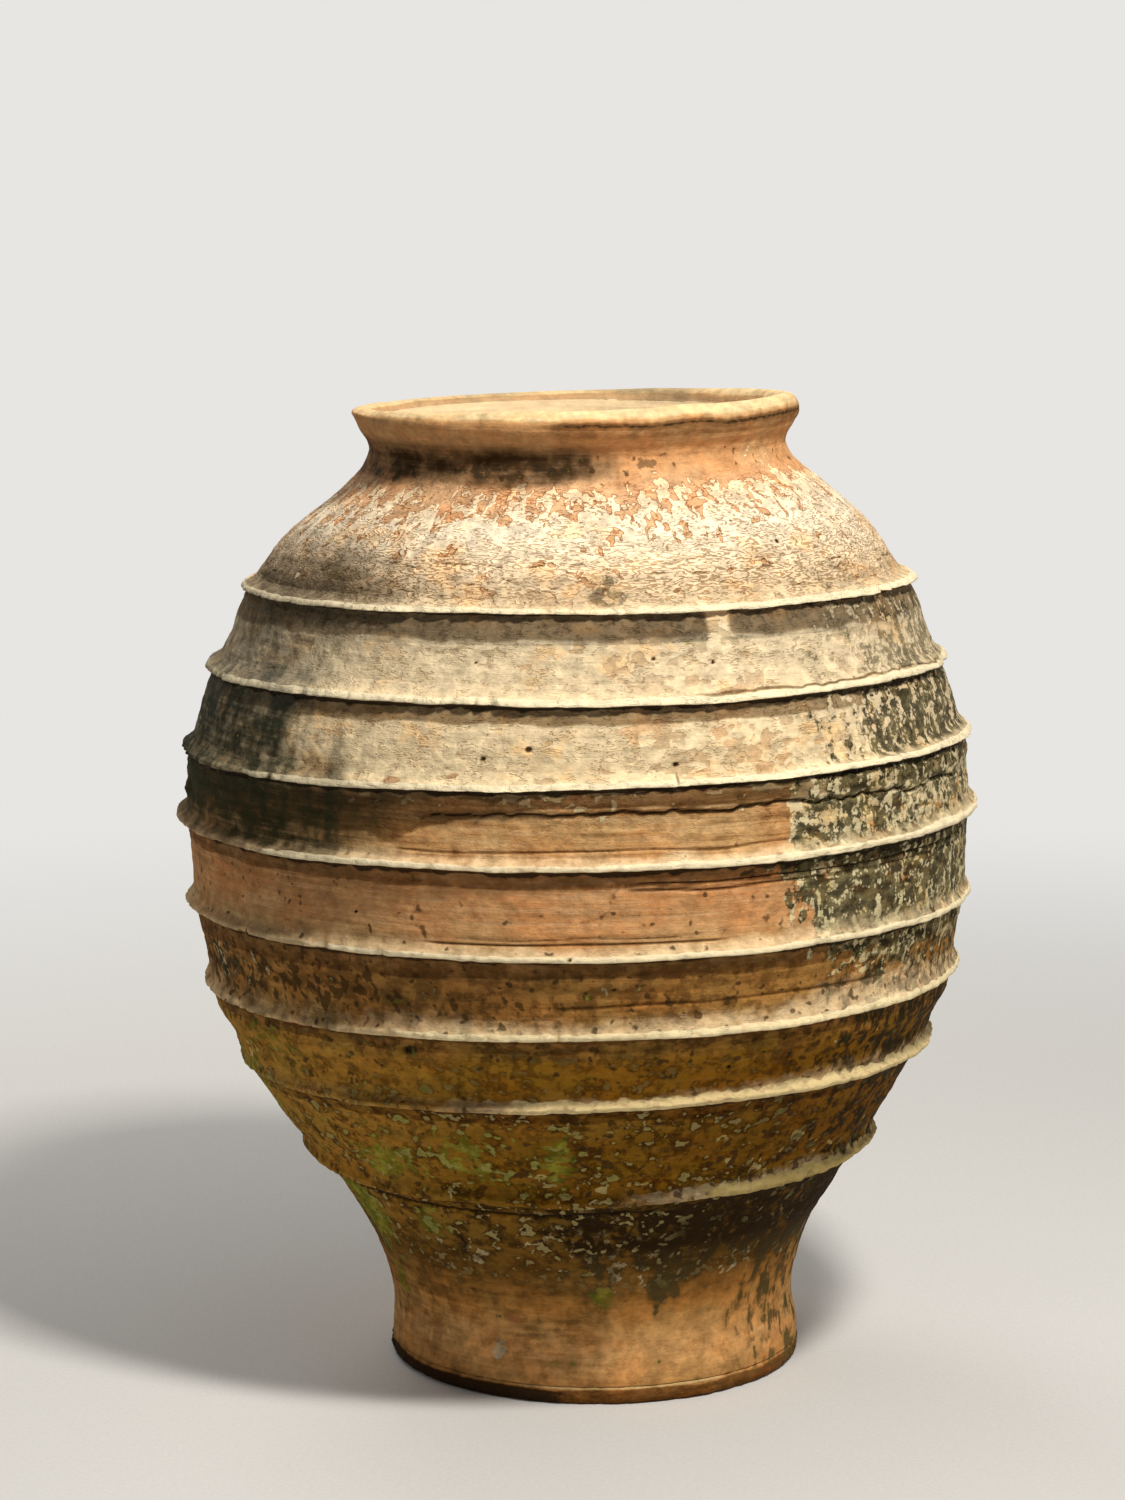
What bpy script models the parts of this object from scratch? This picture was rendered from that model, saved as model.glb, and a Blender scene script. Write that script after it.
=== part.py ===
"""A large ribbed storage jar of fired clay, built the way its potter builds it.

A thrown floor slab carries the foot wall. Seven wall courses are raised on it, one a day, each on the
stiffened edge of the last. A shoulder, a neck and a rolled lip close the jar. Every joint of the body is
covered from outside by a pressed-on clay band, and these eight bands are the ribs of the jar.

Metres, +Z up. The origin is on the ground, below the middle of the belly. -Y is the front.
"""

import bisect
import math

import bpy

# Sizes of the turned body, in metres. Radii are those of the outer wall, without the bands.
FOOT_RADIUS = 0.2015
BELLY_RADIUS = 0.383
NECK_RADIUS = 0.2027
BELLY_HEIGHT = 0.5455
NECK_HEIGHT = 0.905
WALL = 0.020
FLOOR_THICKNESS = 0.018
FLOOR_LEDGE = 0.0012
FLOOR_CHAMFER = 0.003

# The lip above the narrowest part of the neck.
LIP_RISE = 0.045
LIP_FLARE = 0.0148

# The bands over the joints.
BAND_OUT = 0.010
BAND_ABOVE = 0.022
BAND_BELOW = 0.010

# The dry joint left between two pieces.
JOINT_GAP = 0.0003

TURN_STEPS = 44
WELD = 0.0001
SLOPE_STEP_SHARE = 0.002

# The outer wall from the ground to the belly: share of the belly's height, and how much of the swell
# from the foot's radius to the belly's is reached there.
LOWER_OUTLINE_SHARES = (
    (0.0, 0.0),
    (0.10, -0.008),
    (0.205, 0.058),
    (0.312, 0.213),
    (0.408, 0.405),
    (0.554, 0.700),
    (0.709, 0.895),
    (0.846, 0.974),
    (1.0, 1.0),
)

# The same from the belly up to the neck: share of the rise, and how much of the belly's swell over the
# neck is left there.
UPPER_OUTLINE_SHARES = (
    (0.195, 0.972),
    (0.402, 0.837),
    (0.583, 0.690),
    (0.708, 0.556),
    (0.797, 0.412),
    (0.875, 0.222),
    (0.946, 0.060),
    (1.0, 0.0),
)

# The flare from the neck to the lip's outer edge: share of the lip's rise, and of its flare.
LIP_OUTLINE_SHARES = (
    (0.22, 0.14),
    (0.45, 0.55),
    (0.60, 0.86),
    (0.70, 1.0),
)

# The rolled top of the lip, from its outer edge over the crest to the throat: share of the lip's rise, and
# how far in from the outer edge, as a share of the lip's whole width.
LIP_ROLL_SHARES = (
    (0.84, 0.03),
    (0.95, 0.19),
    (1.0, 0.42),
    (0.96, 0.68),
    (0.84, 0.88),
)

# Where the bands and the joints behind them lie, from the lowest up, as shares of the neck's height.
BAND_HEIGHT_SHARES = (0.246, 0.3337, 0.4276, 0.510, 0.6028, 0.680, 0.7624, 0.8525)

# How far each band stands out, as a share of BAND_OUT. The lowest and the highest are the boldest.
BAND_OUT_SHARES = (1.25, 1.15, 0.90, 0.85, 1.0, 0.85, 0.95, 1.10)

# How far each band reaches up and down the wall from its edge, as shares of BAND_ABOVE and BAND_BELOW.
BAND_ABOVE_SHARES = (0.80, 1.10, 1.05, 1.0, 1.0, 1.0, 1.05, 0.65)
BAND_BELOW_SHARES = (2.6, 1.5, 1.8, 1.4, 1.2, 0.8, 0.8, 1.6)

# A band's section: height above its edge, as a share of its reach up or, when negative, of its reach down,
# and how far it stands out there. It flares down to a blunt edge and turns under.
BAND_SECTION_SHARES = (
    (1.0, 0.14),
    (0.56, 0.33),
    (0.20, 0.82),
    (-0.05, 1.0),
    (-0.42, 0.82),
    (-1.0, 0.16),
)

# The joints above the bands: shoulder to neck as a share of the neck's height, neck to lip as a share of
# the lip's rise.
SHOULDER_TOP_SHARE = 0.959
NECK_TOP_SHARE = 0.42

# The jar leans a little to the left, and no ring of it is quite level. Each tilt is how much the ring rises
# per metre towards +X and towards +Y: first the floor, then the eight bands, the neck's joint, the lip's
# outer edge and the crest.
LEAN_SHARE = 0.0173
TILT_SHARES = (
    (0.0, 0.0),
    (0.0245, 0.0105),
    (0.0314, -0.0262),
    (0.0244, -0.0140),
    (0.0131, -0.0140),
    (0.0131, -0.0105),
    (0.0244, -0.0227),
    (0.0105, -0.0175),
    (0.0131, -0.0244),
    (0.0332, -0.0175),
    (0.0105, 0.0),
    (0.0349, -0.0314),
)

# Places between a piece's ends at which its wall has a ring of points, as shares of its height.
COURSE_STATION_SHARES = (0.5,)
FOOT_STATION_SHARES = (0.16, 0.34, 0.52, 0.70)
SHOULDER_STATION_SHARES = (0.45, 0.72)
NECK_STATION_SHARES = (0.33, 0.66)

# The clay has weathered to another colour at each level of the jar. Colours are linear.
CLAY_COLOURS = {
    "foot_clay": (0.40, 0.19, 0.065),
    "mossed_clay": (0.15, 0.082, 0.022),
    "bare_clay": (0.47, 0.23, 0.095),
    "greyed_clay": (0.47, 0.36, 0.21),
    "limed_clay": (0.76, 0.56, 0.34),
    "band_clay": (0.55, 0.37, 0.19),
}
COURSE_CLAYS = (
    "mossed_clay",
    "mossed_clay",
    "bare_clay",
    "bare_clay",
    "bare_clay",
    "greyed_clay",
    "greyed_clay",
)
CLAY_ROUGHNESS = 0.92
SMOOTH_BELOW = math.radians(35)


def outline_points():
    """The outer wall from the ground to the lip's outer edge, as (height, radius)."""
    lower = [
        (BELLY_HEIGHT * up, FOOT_RADIUS + (BELLY_RADIUS - FOOT_RADIUS) * swell)
        for up, swell in LOWER_OUTLINE_SHARES
    ]
    rise = NECK_HEIGHT - BELLY_HEIGHT
    upper = [
        (BELLY_HEIGHT + rise * up, NECK_RADIUS + (BELLY_RADIUS - NECK_RADIUS) * swell)
        for up, swell in UPPER_OUTLINE_SHARES
    ]
    flare = [
        (NECK_HEIGHT + LIP_RISE * up, NECK_RADIUS + LIP_FLARE * out)
        for up, out in LIP_OUTLINE_SHARES
    ]
    return lower + upper + flare


OUTLINE = outline_points()
OUTLINE_HEIGHTS = [height for height, _ in OUTLINE]
BAND_HEIGHTS = [NECK_HEIGHT * share for share in BAND_HEIGHT_SHARES]
BAND_TOPS = [height + BAND_ABOVE * share for height, share in zip(BAND_HEIGHTS, BAND_ABOVE_SHARES)]
BAND_BOTTOMS = [height - BAND_BELOW * share for height, share in zip(BAND_HEIGHTS, BAND_BELOW_SHARES)]
SHOULDER_TOP = NECK_HEIGHT * SHOULDER_TOP_SHARE
NECK_TOP = NECK_HEIGHT + LIP_RISE * NECK_TOP_SHARE
CREST_HEIGHT = NECK_HEIGHT + LIP_RISE
LIP_EDGE_HEIGHT = OUTLINE_HEIGHTS[-1]
TILT_HEIGHTS = [FLOOR_THICKNESS, *BAND_HEIGHTS, SHOULDER_TOP, LIP_EDGE_HEIGHT, CREST_HEIGHT]


def outline_slope(index):
    """Radius gained per metre of height at one outline point, from its neighbours."""
    low = max(index - 1, 0)
    high = min(index + 1, len(OUTLINE) - 1)
    return (OUTLINE[high][1] - OUTLINE[low][1]) / (OUTLINE[high][0] - OUTLINE[low][0])


def outer_radius(height):
    """The outer wall's radius at a height, on one smooth curve through the outline's points."""
    index = bisect.bisect_right(OUTLINE_HEIGHTS, height) - 1
    index = min(max(index, 0), len(OUTLINE) - 2)
    (low, start), (high, end) = OUTLINE[index], OUTLINE[index + 1]
    span = high - low
    t = min(max((height - low) / span, 0.0), 1.0)
    return (
        start * (1 + 2 * t) * (1 - t) ** 2
        + end * (3 - 2 * t) * t**2
        + outline_slope(index) * span * t * (1 - t) ** 2
        - outline_slope(index + 1) * span * (1 - t) * t**2
    )


def inner_point(height):
    """The point of the inner wall straight through the clay from the outer wall at a height."""
    step = WALL * SLOPE_STEP_SHARE
    run = (outer_radius(height + step) - outer_radius(height - step)) / (2 * step)
    length = math.hypot(1, run)
    return (outer_radius(height) - WALL / length, height + WALL * run / length)


def wall_section(stations, inner_stations):
    """A closed section of the wall, down its outer side and up its inner side."""
    outer = [(outer_radius(height), height) for height in sorted(stations, reverse=True)]
    inner = [inner_point(height) for height in sorted(inner_stations)]
    return outer + inner


def between(low, high, shares):
    return [low + (high - low) * share for share in shares]


def course_section(index, shares):
    """A wall course between two joints, with rings of points where the bands over its joints end."""
    bottom, top = BAND_HEIGHTS[index] + JOINT_GAP / 2, BAND_HEIGHTS[index + 1] - JOINT_GAP / 2
    low, high = BAND_TOPS[index], BAND_BOTTOMS[index + 1]
    outer = [bottom, low, *between(low, high, shares), high, top]
    return wall_section(outer, [bottom, *between(bottom, top, shares), top])


def foot_section():
    """The foot wall, flat where it stands on the floor slab."""
    bottom, top = FLOOR_THICKNESS + JOINT_GAP, BAND_HEIGHTS[0] - JOINT_GAP / 2
    middle = between(bottom, top, FOOT_STATION_SHARES)
    outer = [bottom, *middle, BAND_BOTTOMS[0], top]
    section = wall_section(outer, [*middle, top])
    section.insert(len(outer), (outer_radius(bottom) - WALL, bottom))
    return section


def shoulder_section():
    bottom, top = BAND_HEIGHTS[-1] + JOINT_GAP / 2, SHOULDER_TOP - JOINT_GAP / 2
    middle = between(BAND_TOPS[-1], top, SHOULDER_STATION_SHARES)
    return wall_section([bottom, BAND_TOPS[-1], *middle, top], [bottom, *middle, top])


def neck_section():
    bottom, top = SHOULDER_TOP + JOINT_GAP / 2, NECK_TOP - JOINT_GAP / 2
    stations = [bottom, *between(bottom, top, NECK_STATION_SHARES), top]
    return wall_section(stations, stations)


def lip_section():
    """The rolled lip on top of the neck."""
    bottom = NECK_TOP + JOINT_GAP / 2
    edge_radius = OUTLINE[-1][1]
    throat_radius, throat_height = inner_point(bottom)
    width = edge_radius - throat_radius
    flare = [(outer_radius(height), height) for height in (LIP_EDGE_HEIGHT, bottom)]
    roll = [
        (edge_radius - width * inward, NECK_HEIGHT + LIP_RISE * up)
        for up, inward in LIP_ROLL_SHARES
    ]
    return flare + [(throat_radius, throat_height)] + roll[::-1]


def band_section(index):
    """A band over a joint, its back on the wall of the two courses that meet there."""
    low, height, high = BAND_BOTTOMS[index], BAND_HEIGHTS[index], BAND_TOPS[index]
    out = BAND_OUT * BAND_OUT_SHARES[index]
    face = []
    for up, share in BAND_SECTION_SHARES:
        at = height + up * (high - height if up > 0 else height - low)
        face.append((outer_radius(at) + JOINT_GAP + out * share, at))
    back = [(outer_radius(at) + JOINT_GAP, at) for at in (low, height, high)]
    return face + back


def floor_section():
    """The floor slab, an open section that starts and ends on the axis."""
    radius = outer_radius(FLOOR_THICKNESS) + FLOOR_LEDGE
    return [
        (0.0, FLOOR_THICKNESS),
        (radius - FLOOR_CHAMFER, FLOOR_THICKNESS),
        (radius, FLOOR_THICKNESS - FLOOR_CHAMFER),
        (radius, FLOOR_CHAMFER),
        (radius - FLOOR_CHAMFER, 0.0),
        (0.0, 0.0),
    ]


def tilt_at(height):
    """How much a ring at this height rises per metre towards +X and +Y."""
    if height <= TILT_HEIGHTS[0]:
        return TILT_SHARES[0]
    index = min(bisect.bisect_right(TILT_HEIGHTS, height), len(TILT_HEIGHTS) - 1)
    low, high = TILT_HEIGHTS[index - 1], TILT_HEIGHTS[index]
    t = min((height - low) / (high - low), 1.0)
    return tuple(a + (b - a) * t for a, b in zip(TILT_SHARES[index - 1], TILT_SHARES[index]))


def settle_by_hand(obj):
    """Leans and tilts a turned piece as the hand-built jar does, all pieces by the same rule."""
    for vertex in obj.data.vertices:
        x, y, z = vertex.co
        rise_x, rise_y = tilt_at(z)
        vertex.co.x = x - LEAN_SHARE * (z - BELLY_HEIGHT)
        vertex.co.z = z + rise_x * x + rise_y * y


def clay(name, colour):
    material = bpy.data.materials.new(name)
    material.use_nodes = True
    shader = material.node_tree.nodes["Principled BSDF"]
    shader.inputs["Base Color"].default_value = (*colour, 1.0)
    shader.inputs["Roughness"].default_value = CLAY_ROUGHNESS
    shader.inputs["Metallic"].default_value = 0.0
    return material


def turned(name, section, material, collection, closed=True):
    """A piece turned about the upright axis from its section, a list of (radius, height)."""
    mesh = bpy.data.meshes.new(name)
    corners = [(radius, 0.0, height) for radius, height in section]
    edges = [(i, i + 1) for i in range(len(corners) - 1)]
    if closed:
        edges.append((len(corners) - 1, 0))
    mesh.from_pydata(corners, edges, [])
    obj = bpy.data.objects.new(name, mesh)
    collection.objects.link(obj)
    screw = obj.modifiers.new("turn", "SCREW")
    screw.axis = "Z"
    screw.angle = math.tau
    screw.steps = screw.render_steps = TURN_STEPS
    screw.use_merge_vertices = True
    screw.merge_threshold = WELD
    graph = bpy.context.evaluated_depsgraph_get()
    turned_mesh = bpy.data.meshes.new_from_object(obj.evaluated_get(graph))
    obj.modifiers.clear()
    obj.data = turned_mesh
    bpy.data.meshes.remove(mesh)
    turned_mesh.name = name
    settle_by_hand(obj)
    obj.data.materials.append(material)
    obj.data.shade_smooth()
    obj.data.set_sharp_from_angle(angle=SMOOTH_BELOW)
    return obj


def build():
    for old in list(bpy.data.objects):
        bpy.data.objects.remove(old, do_unlink=True)
    jar = bpy.data.collections.new("ribbed_jar")
    bpy.context.scene.collection.children.link(jar)
    clays = {name: clay(name, colour) for name, colour in CLAY_COLOURS.items()}

    turned("floor_slab", floor_section(), clays["foot_clay"], jar, closed=False)
    turned("foot_wall", foot_section(), clays["foot_clay"], jar)
    for index, name in enumerate(COURSE_CLAYS):
        section = course_section(index, COURSE_STATION_SHARES)
        turned(f"wall_course_{index + 1}", section, clays[name], jar)
    turned("shoulder", shoulder_section(), clays["limed_clay"], jar)
    turned("neck", neck_section(), clays["limed_clay"], jar)
    turned("rolled_lip", lip_section(), clays["limed_clay"], jar)
    for index in range(len(BAND_HEIGHTS)):
        turned(f"joint_band_{index + 1}", band_section(index), clays["band_clay"], jar)


build()
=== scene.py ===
"""The looks of a large weathered storage jar of fired clay, ribbed by bands pressed over its joints.

Each piece of clay is one closed mesh: rows of points up its outer side and down its inner side, with the
dents, throwing lines, cracks and chips of the wall moved into the rows. The finish of the clay is made by
nodes, from where a point is on the jar and from what the rows know about it, such as how near it is to a
worn edge. Metres, +Z up. The camera looks along +Y. Angles go round from the front towards +X.
"""

import math

import bpy
import numpy as np
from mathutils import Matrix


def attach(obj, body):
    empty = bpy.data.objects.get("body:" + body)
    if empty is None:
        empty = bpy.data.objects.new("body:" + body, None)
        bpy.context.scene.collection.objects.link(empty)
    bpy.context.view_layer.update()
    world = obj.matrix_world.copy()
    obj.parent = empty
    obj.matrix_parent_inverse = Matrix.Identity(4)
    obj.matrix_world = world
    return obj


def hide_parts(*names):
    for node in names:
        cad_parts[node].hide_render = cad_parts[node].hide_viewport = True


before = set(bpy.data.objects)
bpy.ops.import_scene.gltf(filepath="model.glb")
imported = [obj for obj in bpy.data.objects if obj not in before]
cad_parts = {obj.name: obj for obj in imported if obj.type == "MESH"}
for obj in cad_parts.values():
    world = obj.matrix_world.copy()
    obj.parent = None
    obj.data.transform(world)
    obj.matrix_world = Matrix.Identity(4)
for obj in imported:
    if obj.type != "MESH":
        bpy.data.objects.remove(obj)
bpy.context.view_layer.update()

MM = 0.001
TAU = math.tau

# The turned body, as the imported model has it.
FOOT_RADIUS = 0.2015
BELLY_RADIUS = 0.383
NECK_RADIUS = 0.2027
BELLY_HEIGHT = 0.5455
NECK_HEIGHT = 0.905
WALL = 0.02
FLOOR_THICKNESS = 0.018
FLOOR_LEDGE = 0.0012
LIP_RISE = 0.045
LIP_FLARE = 0.0148
BAND_OUT = 0.01
BAND_ABOVE = 0.022
BAND_BELOW = 0.01
JOINT_GAP = 0.0003
LOWER_OUTLINE_SHARES = (
    (0, 0), (0.1, -0.008), (0.205, 0.058), (0.312, 0.213), (0.408, 0.405), (0.554, 0.7), (0.709, 0.895),
    (0.846, 0.974), (1, 1),
)
UPPER_OUTLINE_SHARES = (
    (0.195, 0.972), (0.402, 0.837), (0.583, 0.69), (0.708, 0.556), (0.797, 0.412), (0.875, 0.222),
    (0.946, 0.06), (1, 0),
)
LIP_OUTLINE_SHARES = ((0.22, 0.14), (0.45, 0.55), (0.6, 0.86), (0.7, 1))
LIP_ROLL_SHARES = ((0.84, 0.03), (0.95, 0.19), (1, 0.42), (0.96, 0.68), (0.84, 0.88))
BAND_HEIGHT_SHARES = (0.246, 0.3337, 0.4276, 0.51, 0.6028, 0.68, 0.7624, 0.8525)
BAND_OUT_SHARES = (1.25, 1.15, 0.9, 0.85, 1, 0.85, 0.95, 1.1)
BAND_ABOVE_SHARES = (0.8, 1.1, 1.05, 1, 1, 1, 1.05, 0.65)
BAND_BELOW_SHARES = (2.6, 1.5, 1.8, 1.4, 1.2, 0.8, 0.8, 1.6)
SHOULDER_TOP_SHARE = 0.959
NECK_TOP_SHARE = 0.42
LEAN_SHARE = 0.0173
TILT_SHARES = (
    (0, 0), (0.0245, 0.0105), (0.0314, -0.0262), (0.0244, -0.014), (0.0131, -0.014), (0.0131, -0.0105),
    (0.0244, -0.0227), (0.0105, -0.0175), (0.0131, -0.0244), (0.0332, -0.0175), (0.0105, 0),
    (0.0349, -0.0314),
)

BAND_HEIGHTS = [NECK_HEIGHT * share for share in BAND_HEIGHT_SHARES]
BAND_TOPS = [height + BAND_ABOVE * share for height, share in zip(BAND_HEIGHTS, BAND_ABOVE_SHARES)]
BAND_BOTTOMS = [height - BAND_BELOW * share for height, share in zip(BAND_HEIGHTS, BAND_BELOW_SHARES)]
SHOULDER_TOP = NECK_HEIGHT * SHOULDER_TOP_SHARE
NECK_TOP = NECK_HEIGHT + LIP_RISE * NECK_TOP_SHARE
CREST_HEIGHT = NECK_HEIGHT + LIP_RISE
LIP_EDGE_HEIGHT = NECK_HEIGHT + LIP_RISE * LIP_OUTLINE_SHARES[-1][0]
TILT_HEIGHTS = [FLOOR_THICKNESS, *BAND_HEIGHTS, SHOULDER_TOP, LIP_EDGE_HEIGHT, CREST_HEIGHT]

# How the pieces meet here: bands lie flush in shallow seats, across joints too fine to see.
SEAT_DEPTH = 0.005
SEAT_CLEARANCE = 0.0004
HAIR_JOINT = 0.00005

# How many points a ring has, and how far apart the rows lie.
COLUMNS = 960
NARROW_COLUMNS = 720
INNER_STEP = 0.008
NECK_INNER_STEP = 0.004
COURSE_STEP = 0.0018
SHOULDER_STEP = 0.0013
BAND_STEP = 0.0011
LIP_STEP = 0.0015
FOOT_STEP = 0.0019

# The band's thin nose: how far its underside lies above the band's height, and how thick it is.
NOSE_HEIGHTS = (-4, 11.5, 3, 5.5, 6, 5.5, 5.5, 2)
NOSE_THICKNESSES = (6, 4.5, 4, 4, 4, 4, 4.5, 4)
COVE_SHARES = ((1, 0), (0.8, 0.05), (0.6, 0.15), (0.42, 0.31), (0.26, 0.51), (0.12, 0.75), (0.04, 0.9))
UNDERSIDE_SHARES = ((0.03, 0.86), (0.05, 0.6), (0.08, 0.34), (0.16, 0.17), (0.34, 0.08), (0.6, 0.03), (1, 0))
# How much of each band is pressed flat at the jar's left.
LEFT_ENDS = (0.2, 0.6, 0.1, 0, 0, 0, 0, 0)

# How far the hand-built wall stands off the smooth outline, by level, and how far its rings lie to the right,
# in millimetres.
WALL_OFFSETS = (
    (0, 1), (0.02, 1.9), (0.042, 0.9), (0.064, -1.5), (0.108, -1.6), (0.152, -2), (0.174, -0.5),
    (0.196, -1.5), (0.2226, -1), (0.245, -0.5), (0.263, -0.7), (0.282, -2), (0.302, -1.5), (0.33, -1),
    (0.342, -2.5), (0.355, -0.7), (0.366, 2.5), (0.387, 0), (0.414, -2.5), (0.435, -2.8), (0.444, -1),
    (0.4616, -0.8), (0.488, -0.5), (0.502, -1.5), (0.516, -1.3), (0.529, -1), (0.5455, 0), (0.571, 1),
    (0.588, 0.3), (0.603, 2), (0.6154, 2), (0.641, 1.4), (0.66, 3), (0.678, 3.5), (0.69, 2.5), (0.717, 1),
    (0.735, 1), (0.751, 3), (0.7715, 1.5), (0.795, 0), (1, 0),
)
SWAYS = (
    (0, 6), (0.05, 4.5), (0.1, 2.5), (0.155, 1.8), (0.2, 3), (0.26, -1), (0.32, -1.5), (0.38, -2),
    (0.45, -3), (0.55, -3.3), (0.66, -3.2), (0.71, -1), (0.75, 0.8), (0.8, 0), (0.86, 2), (0.9, 2),
    (0.95, 0),
)
# How far the broad lobes of the wall stand out, how high the reliefs reach, and what angle is shaded sharp.
LOBE_SIZE = 1.6 * MM
RELIEF_TOP = 1.1
SHARP_ANGLE = 62
# The lip is thickest at this angle, and thinned by so much opposite.
LIP_THICK_ANGLE = 55
LIP_THINNING = 0.0045
# How far above the floor the foot's inner side starts, and how many chips a band has.
INNER_RISE = 0.008
CHIPS = 34


def curve_through(points):
    """A smooth curve through points of place and value, level beyond its ends."""
    places, values = np.array(points, dtype=float).T
    slopes = np.gradient(values, places)
    slopes[1:-1] = (values[2:] - values[:-2]) / (places[2:] - places[:-2])

    def at(place):
        index = np.clip(np.searchsorted(places, place, side="right") - 1, 0, len(places) - 2)
        span = places[index + 1] - places[index]
        t = np.clip((place - places[index]) / span, 0, 1)
        ends = values[index] * (1 + 2 * t) * (1 - t) ** 2 + values[index + 1] * (3 - 2 * t) * t**2
        return ends + span * t * (1 - t) * (slopes[index] * (1 - t) - slopes[index + 1] * t)

    return at


def relief(seed, cells_round, cell_height):
    """Smooth random relief from -1 to 1, with so many cells round the jar, each so many metres high."""
    rows = int(RELIEF_TOP / cell_height) + 3
    values = np.random.default_rng(seed).uniform(-1, 1, (rows, cells_round))

    def at(turn, level):
        across = (turn % 1) * cells_round
        up = np.clip(level / cell_height + 1, 0, rows - 1.001)
        column, row = np.floor(across).astype(int), np.floor(up).astype(int)
        s, t = across - column, up - row
        s, t = s * s * (3 - 2 * s), t * t * (3 - 2 * t)
        column, beside = column % cells_round, (column + 1) % cells_round
        low = values[row, column] * (1 - s) + values[row, beside] * s
        high = values[row + 1, column] * (1 - s) + values[row + 1, beside] * s
        return low * (1 - t) + high * t

    return at


def ripple(turn, seed, cells_round):
    """Smooth random relief that is the same at every height."""
    return relief(seed, cells_round, 0.5)(turn, 0.5)


def ease(low, high, value):
    """Zero below one value and one above another, smooth between."""
    t = np.clip((value - low) / (high - low), 0, 1)
    return t * t * (3 - 2 * t)


def within(value, low_start, low_end, high_start, high_end):
    """One between two slopes and zero beyond them."""
    return ease(low_start, low_end, value) * (1 - ease(high_start, high_end, value))


def sine(turn):
    return np.sin(turn * TAU)


def degrees(turn):
    return (turn * 360 + 180) % 360 - 180


def arc(turn, start, end, fade=4):
    """One between two angles, and zero beyond them."""
    return within(degrees(turn), start - fade, start, end, end + fade)


def line(level, height, half):
    """One on a line at a height, and zero at a half width from it."""
    return ease(0, 1, 1 - np.abs(level - height) / half)


def spot(turn, level, angle, height, half_wide, half_high):
    """One in the middle of a round spot on the wall, and zero at its rim."""
    arc_length = TAU * outline(height)
    across = ((turn - angle / 360 + 0.5) % 1 - 0.5) * arc_length / half_wide
    return ease(0, 1, 1 - np.hypot(across, (level - height) / half_high))


def fullest(spots, turn, level):
    """The fullest of some spots at a place."""
    full = 0 * (turn + level)
    for angle, height, half_wide, half_high, share in spots:
        full = np.maximum(full, share * spot(turn, level, angle, height, half_wide, half_high) ** 0.7)
    return full


def outline_points():
    """Heights and radii of the smooth outline, from the ground to the lip's edge."""
    swell, rise = BELLY_RADIUS - FOOT_RADIUS, NECK_HEIGHT - BELLY_HEIGHT
    points = [(BELLY_HEIGHT * up, FOOT_RADIUS + swell * out) for up, out in LOWER_OUTLINE_SHARES]
    swell = BELLY_RADIUS - NECK_RADIUS
    points += [(BELLY_HEIGHT + rise * up, NECK_RADIUS + swell * out) for up, out in UPPER_OUTLINE_SHARES]
    points += [(NECK_HEIGHT + LIP_RISE * up, NECK_RADIUS + LIP_FLARE * out) for up, out in LIP_OUTLINE_SHARES]
    return points


outline = curve_through(outline_points())
wall_offset = curve_through([(level, MM * off) for level, off in WALL_OFFSETS])
sway = curve_through([(level, MM * off) for level, off in SWAYS])

lobes = relief(11, 5, 0.16)
dents = relief(12, 34, 0.035)
throwing = relief(13, 10, 0.0065)
fine_throwing = relief(14, 26, 0.0042)
pocks = relief(15, 420, 0.0048)
lumps = relief(16, 150, 0.014)
wander = relief(17, 40, 0.05)
jags = relief(18, 260, 0.05)
patches = relief(19, 22, 0.06)
patches_small = relief(20, 80, 0.022)
vertical = relief(21, 300, 0.045)
shift = relief(22, 9, 0.2)
plates = relief(23, 150, 0.0095)
plates_fine = relief(24, 330, 0.0052)

# Of each groove: two angles and a fade, its height, how much it wanders and jags, half width, depth and
# darkness. Three lie near the fifth band, three above the fourth and third, two at the seventh and first.
GROOVES = (
    (8, 72, 4, BAND_HEIGHTS[4] - 0.0075, 1, 0, 0.0024, 1.5, 0.95),
    (8, 72, 4, BAND_HEIGHTS[4] - 0.0145, 2, 0, 0.0026, 1.5, 0.9),
    (-24, 34, 4, BAND_HEIGHTS[4] + 0.0215, 2, 0, 0.0024, 1.1, 0.75),
    (-20, 18, 4, BAND_HEIGHTS[3] + 0.0205, 1, 0, 0.0021, 1.3, 0.9),
    (-14, 12, 4, BAND_HEIGHTS[3] + 0.0255, 2, 0, 0.002, 0.9, 0.7),
    (0, 46, 12, BAND_HEIGHTS[2] + 0.035, 2, 0, 0.0034, 1.4, 0.7),
    (22, 75, 8, BAND_HEIGHTS[6] + 0.0125, 2, 1, 0.0026, 1.3, 0.8),
    (-62, 14, 8, BAND_BOTTOMS[0] + 0.011, 3, 1, 0.0036, 2.4, 1),
)
# How far above the eighth band each row of short cracks lies, and the row of relief that breaks it up.
CRACK_ROWS = ((0.004, 0.31), (0.011, 0.53), (0.019, 0.71), (0.03, 0.12))
# Angle, height and half width of each pit.
PITS = (
    (-7.3, 0.657, 0.0056), (-13.7, 0.6485, 0.0042), (4, 0.4385, 0.003), (22, 0.352, 0.0036),
    (13.2, 0.64, 0.0046), (-33, 0.505, 0.0034), (11.5, 0.733, 0.0036), (21, 0.728, 0.0034),
    (-16, 0.731, 0.0026), (-2, 0.47, 0.003), (41, 0.826, 0.004), (118, 0.66, 0.005), (-142, 0.51, 0.0046),
    (171, 0.735, 0.0044),
)

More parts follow.
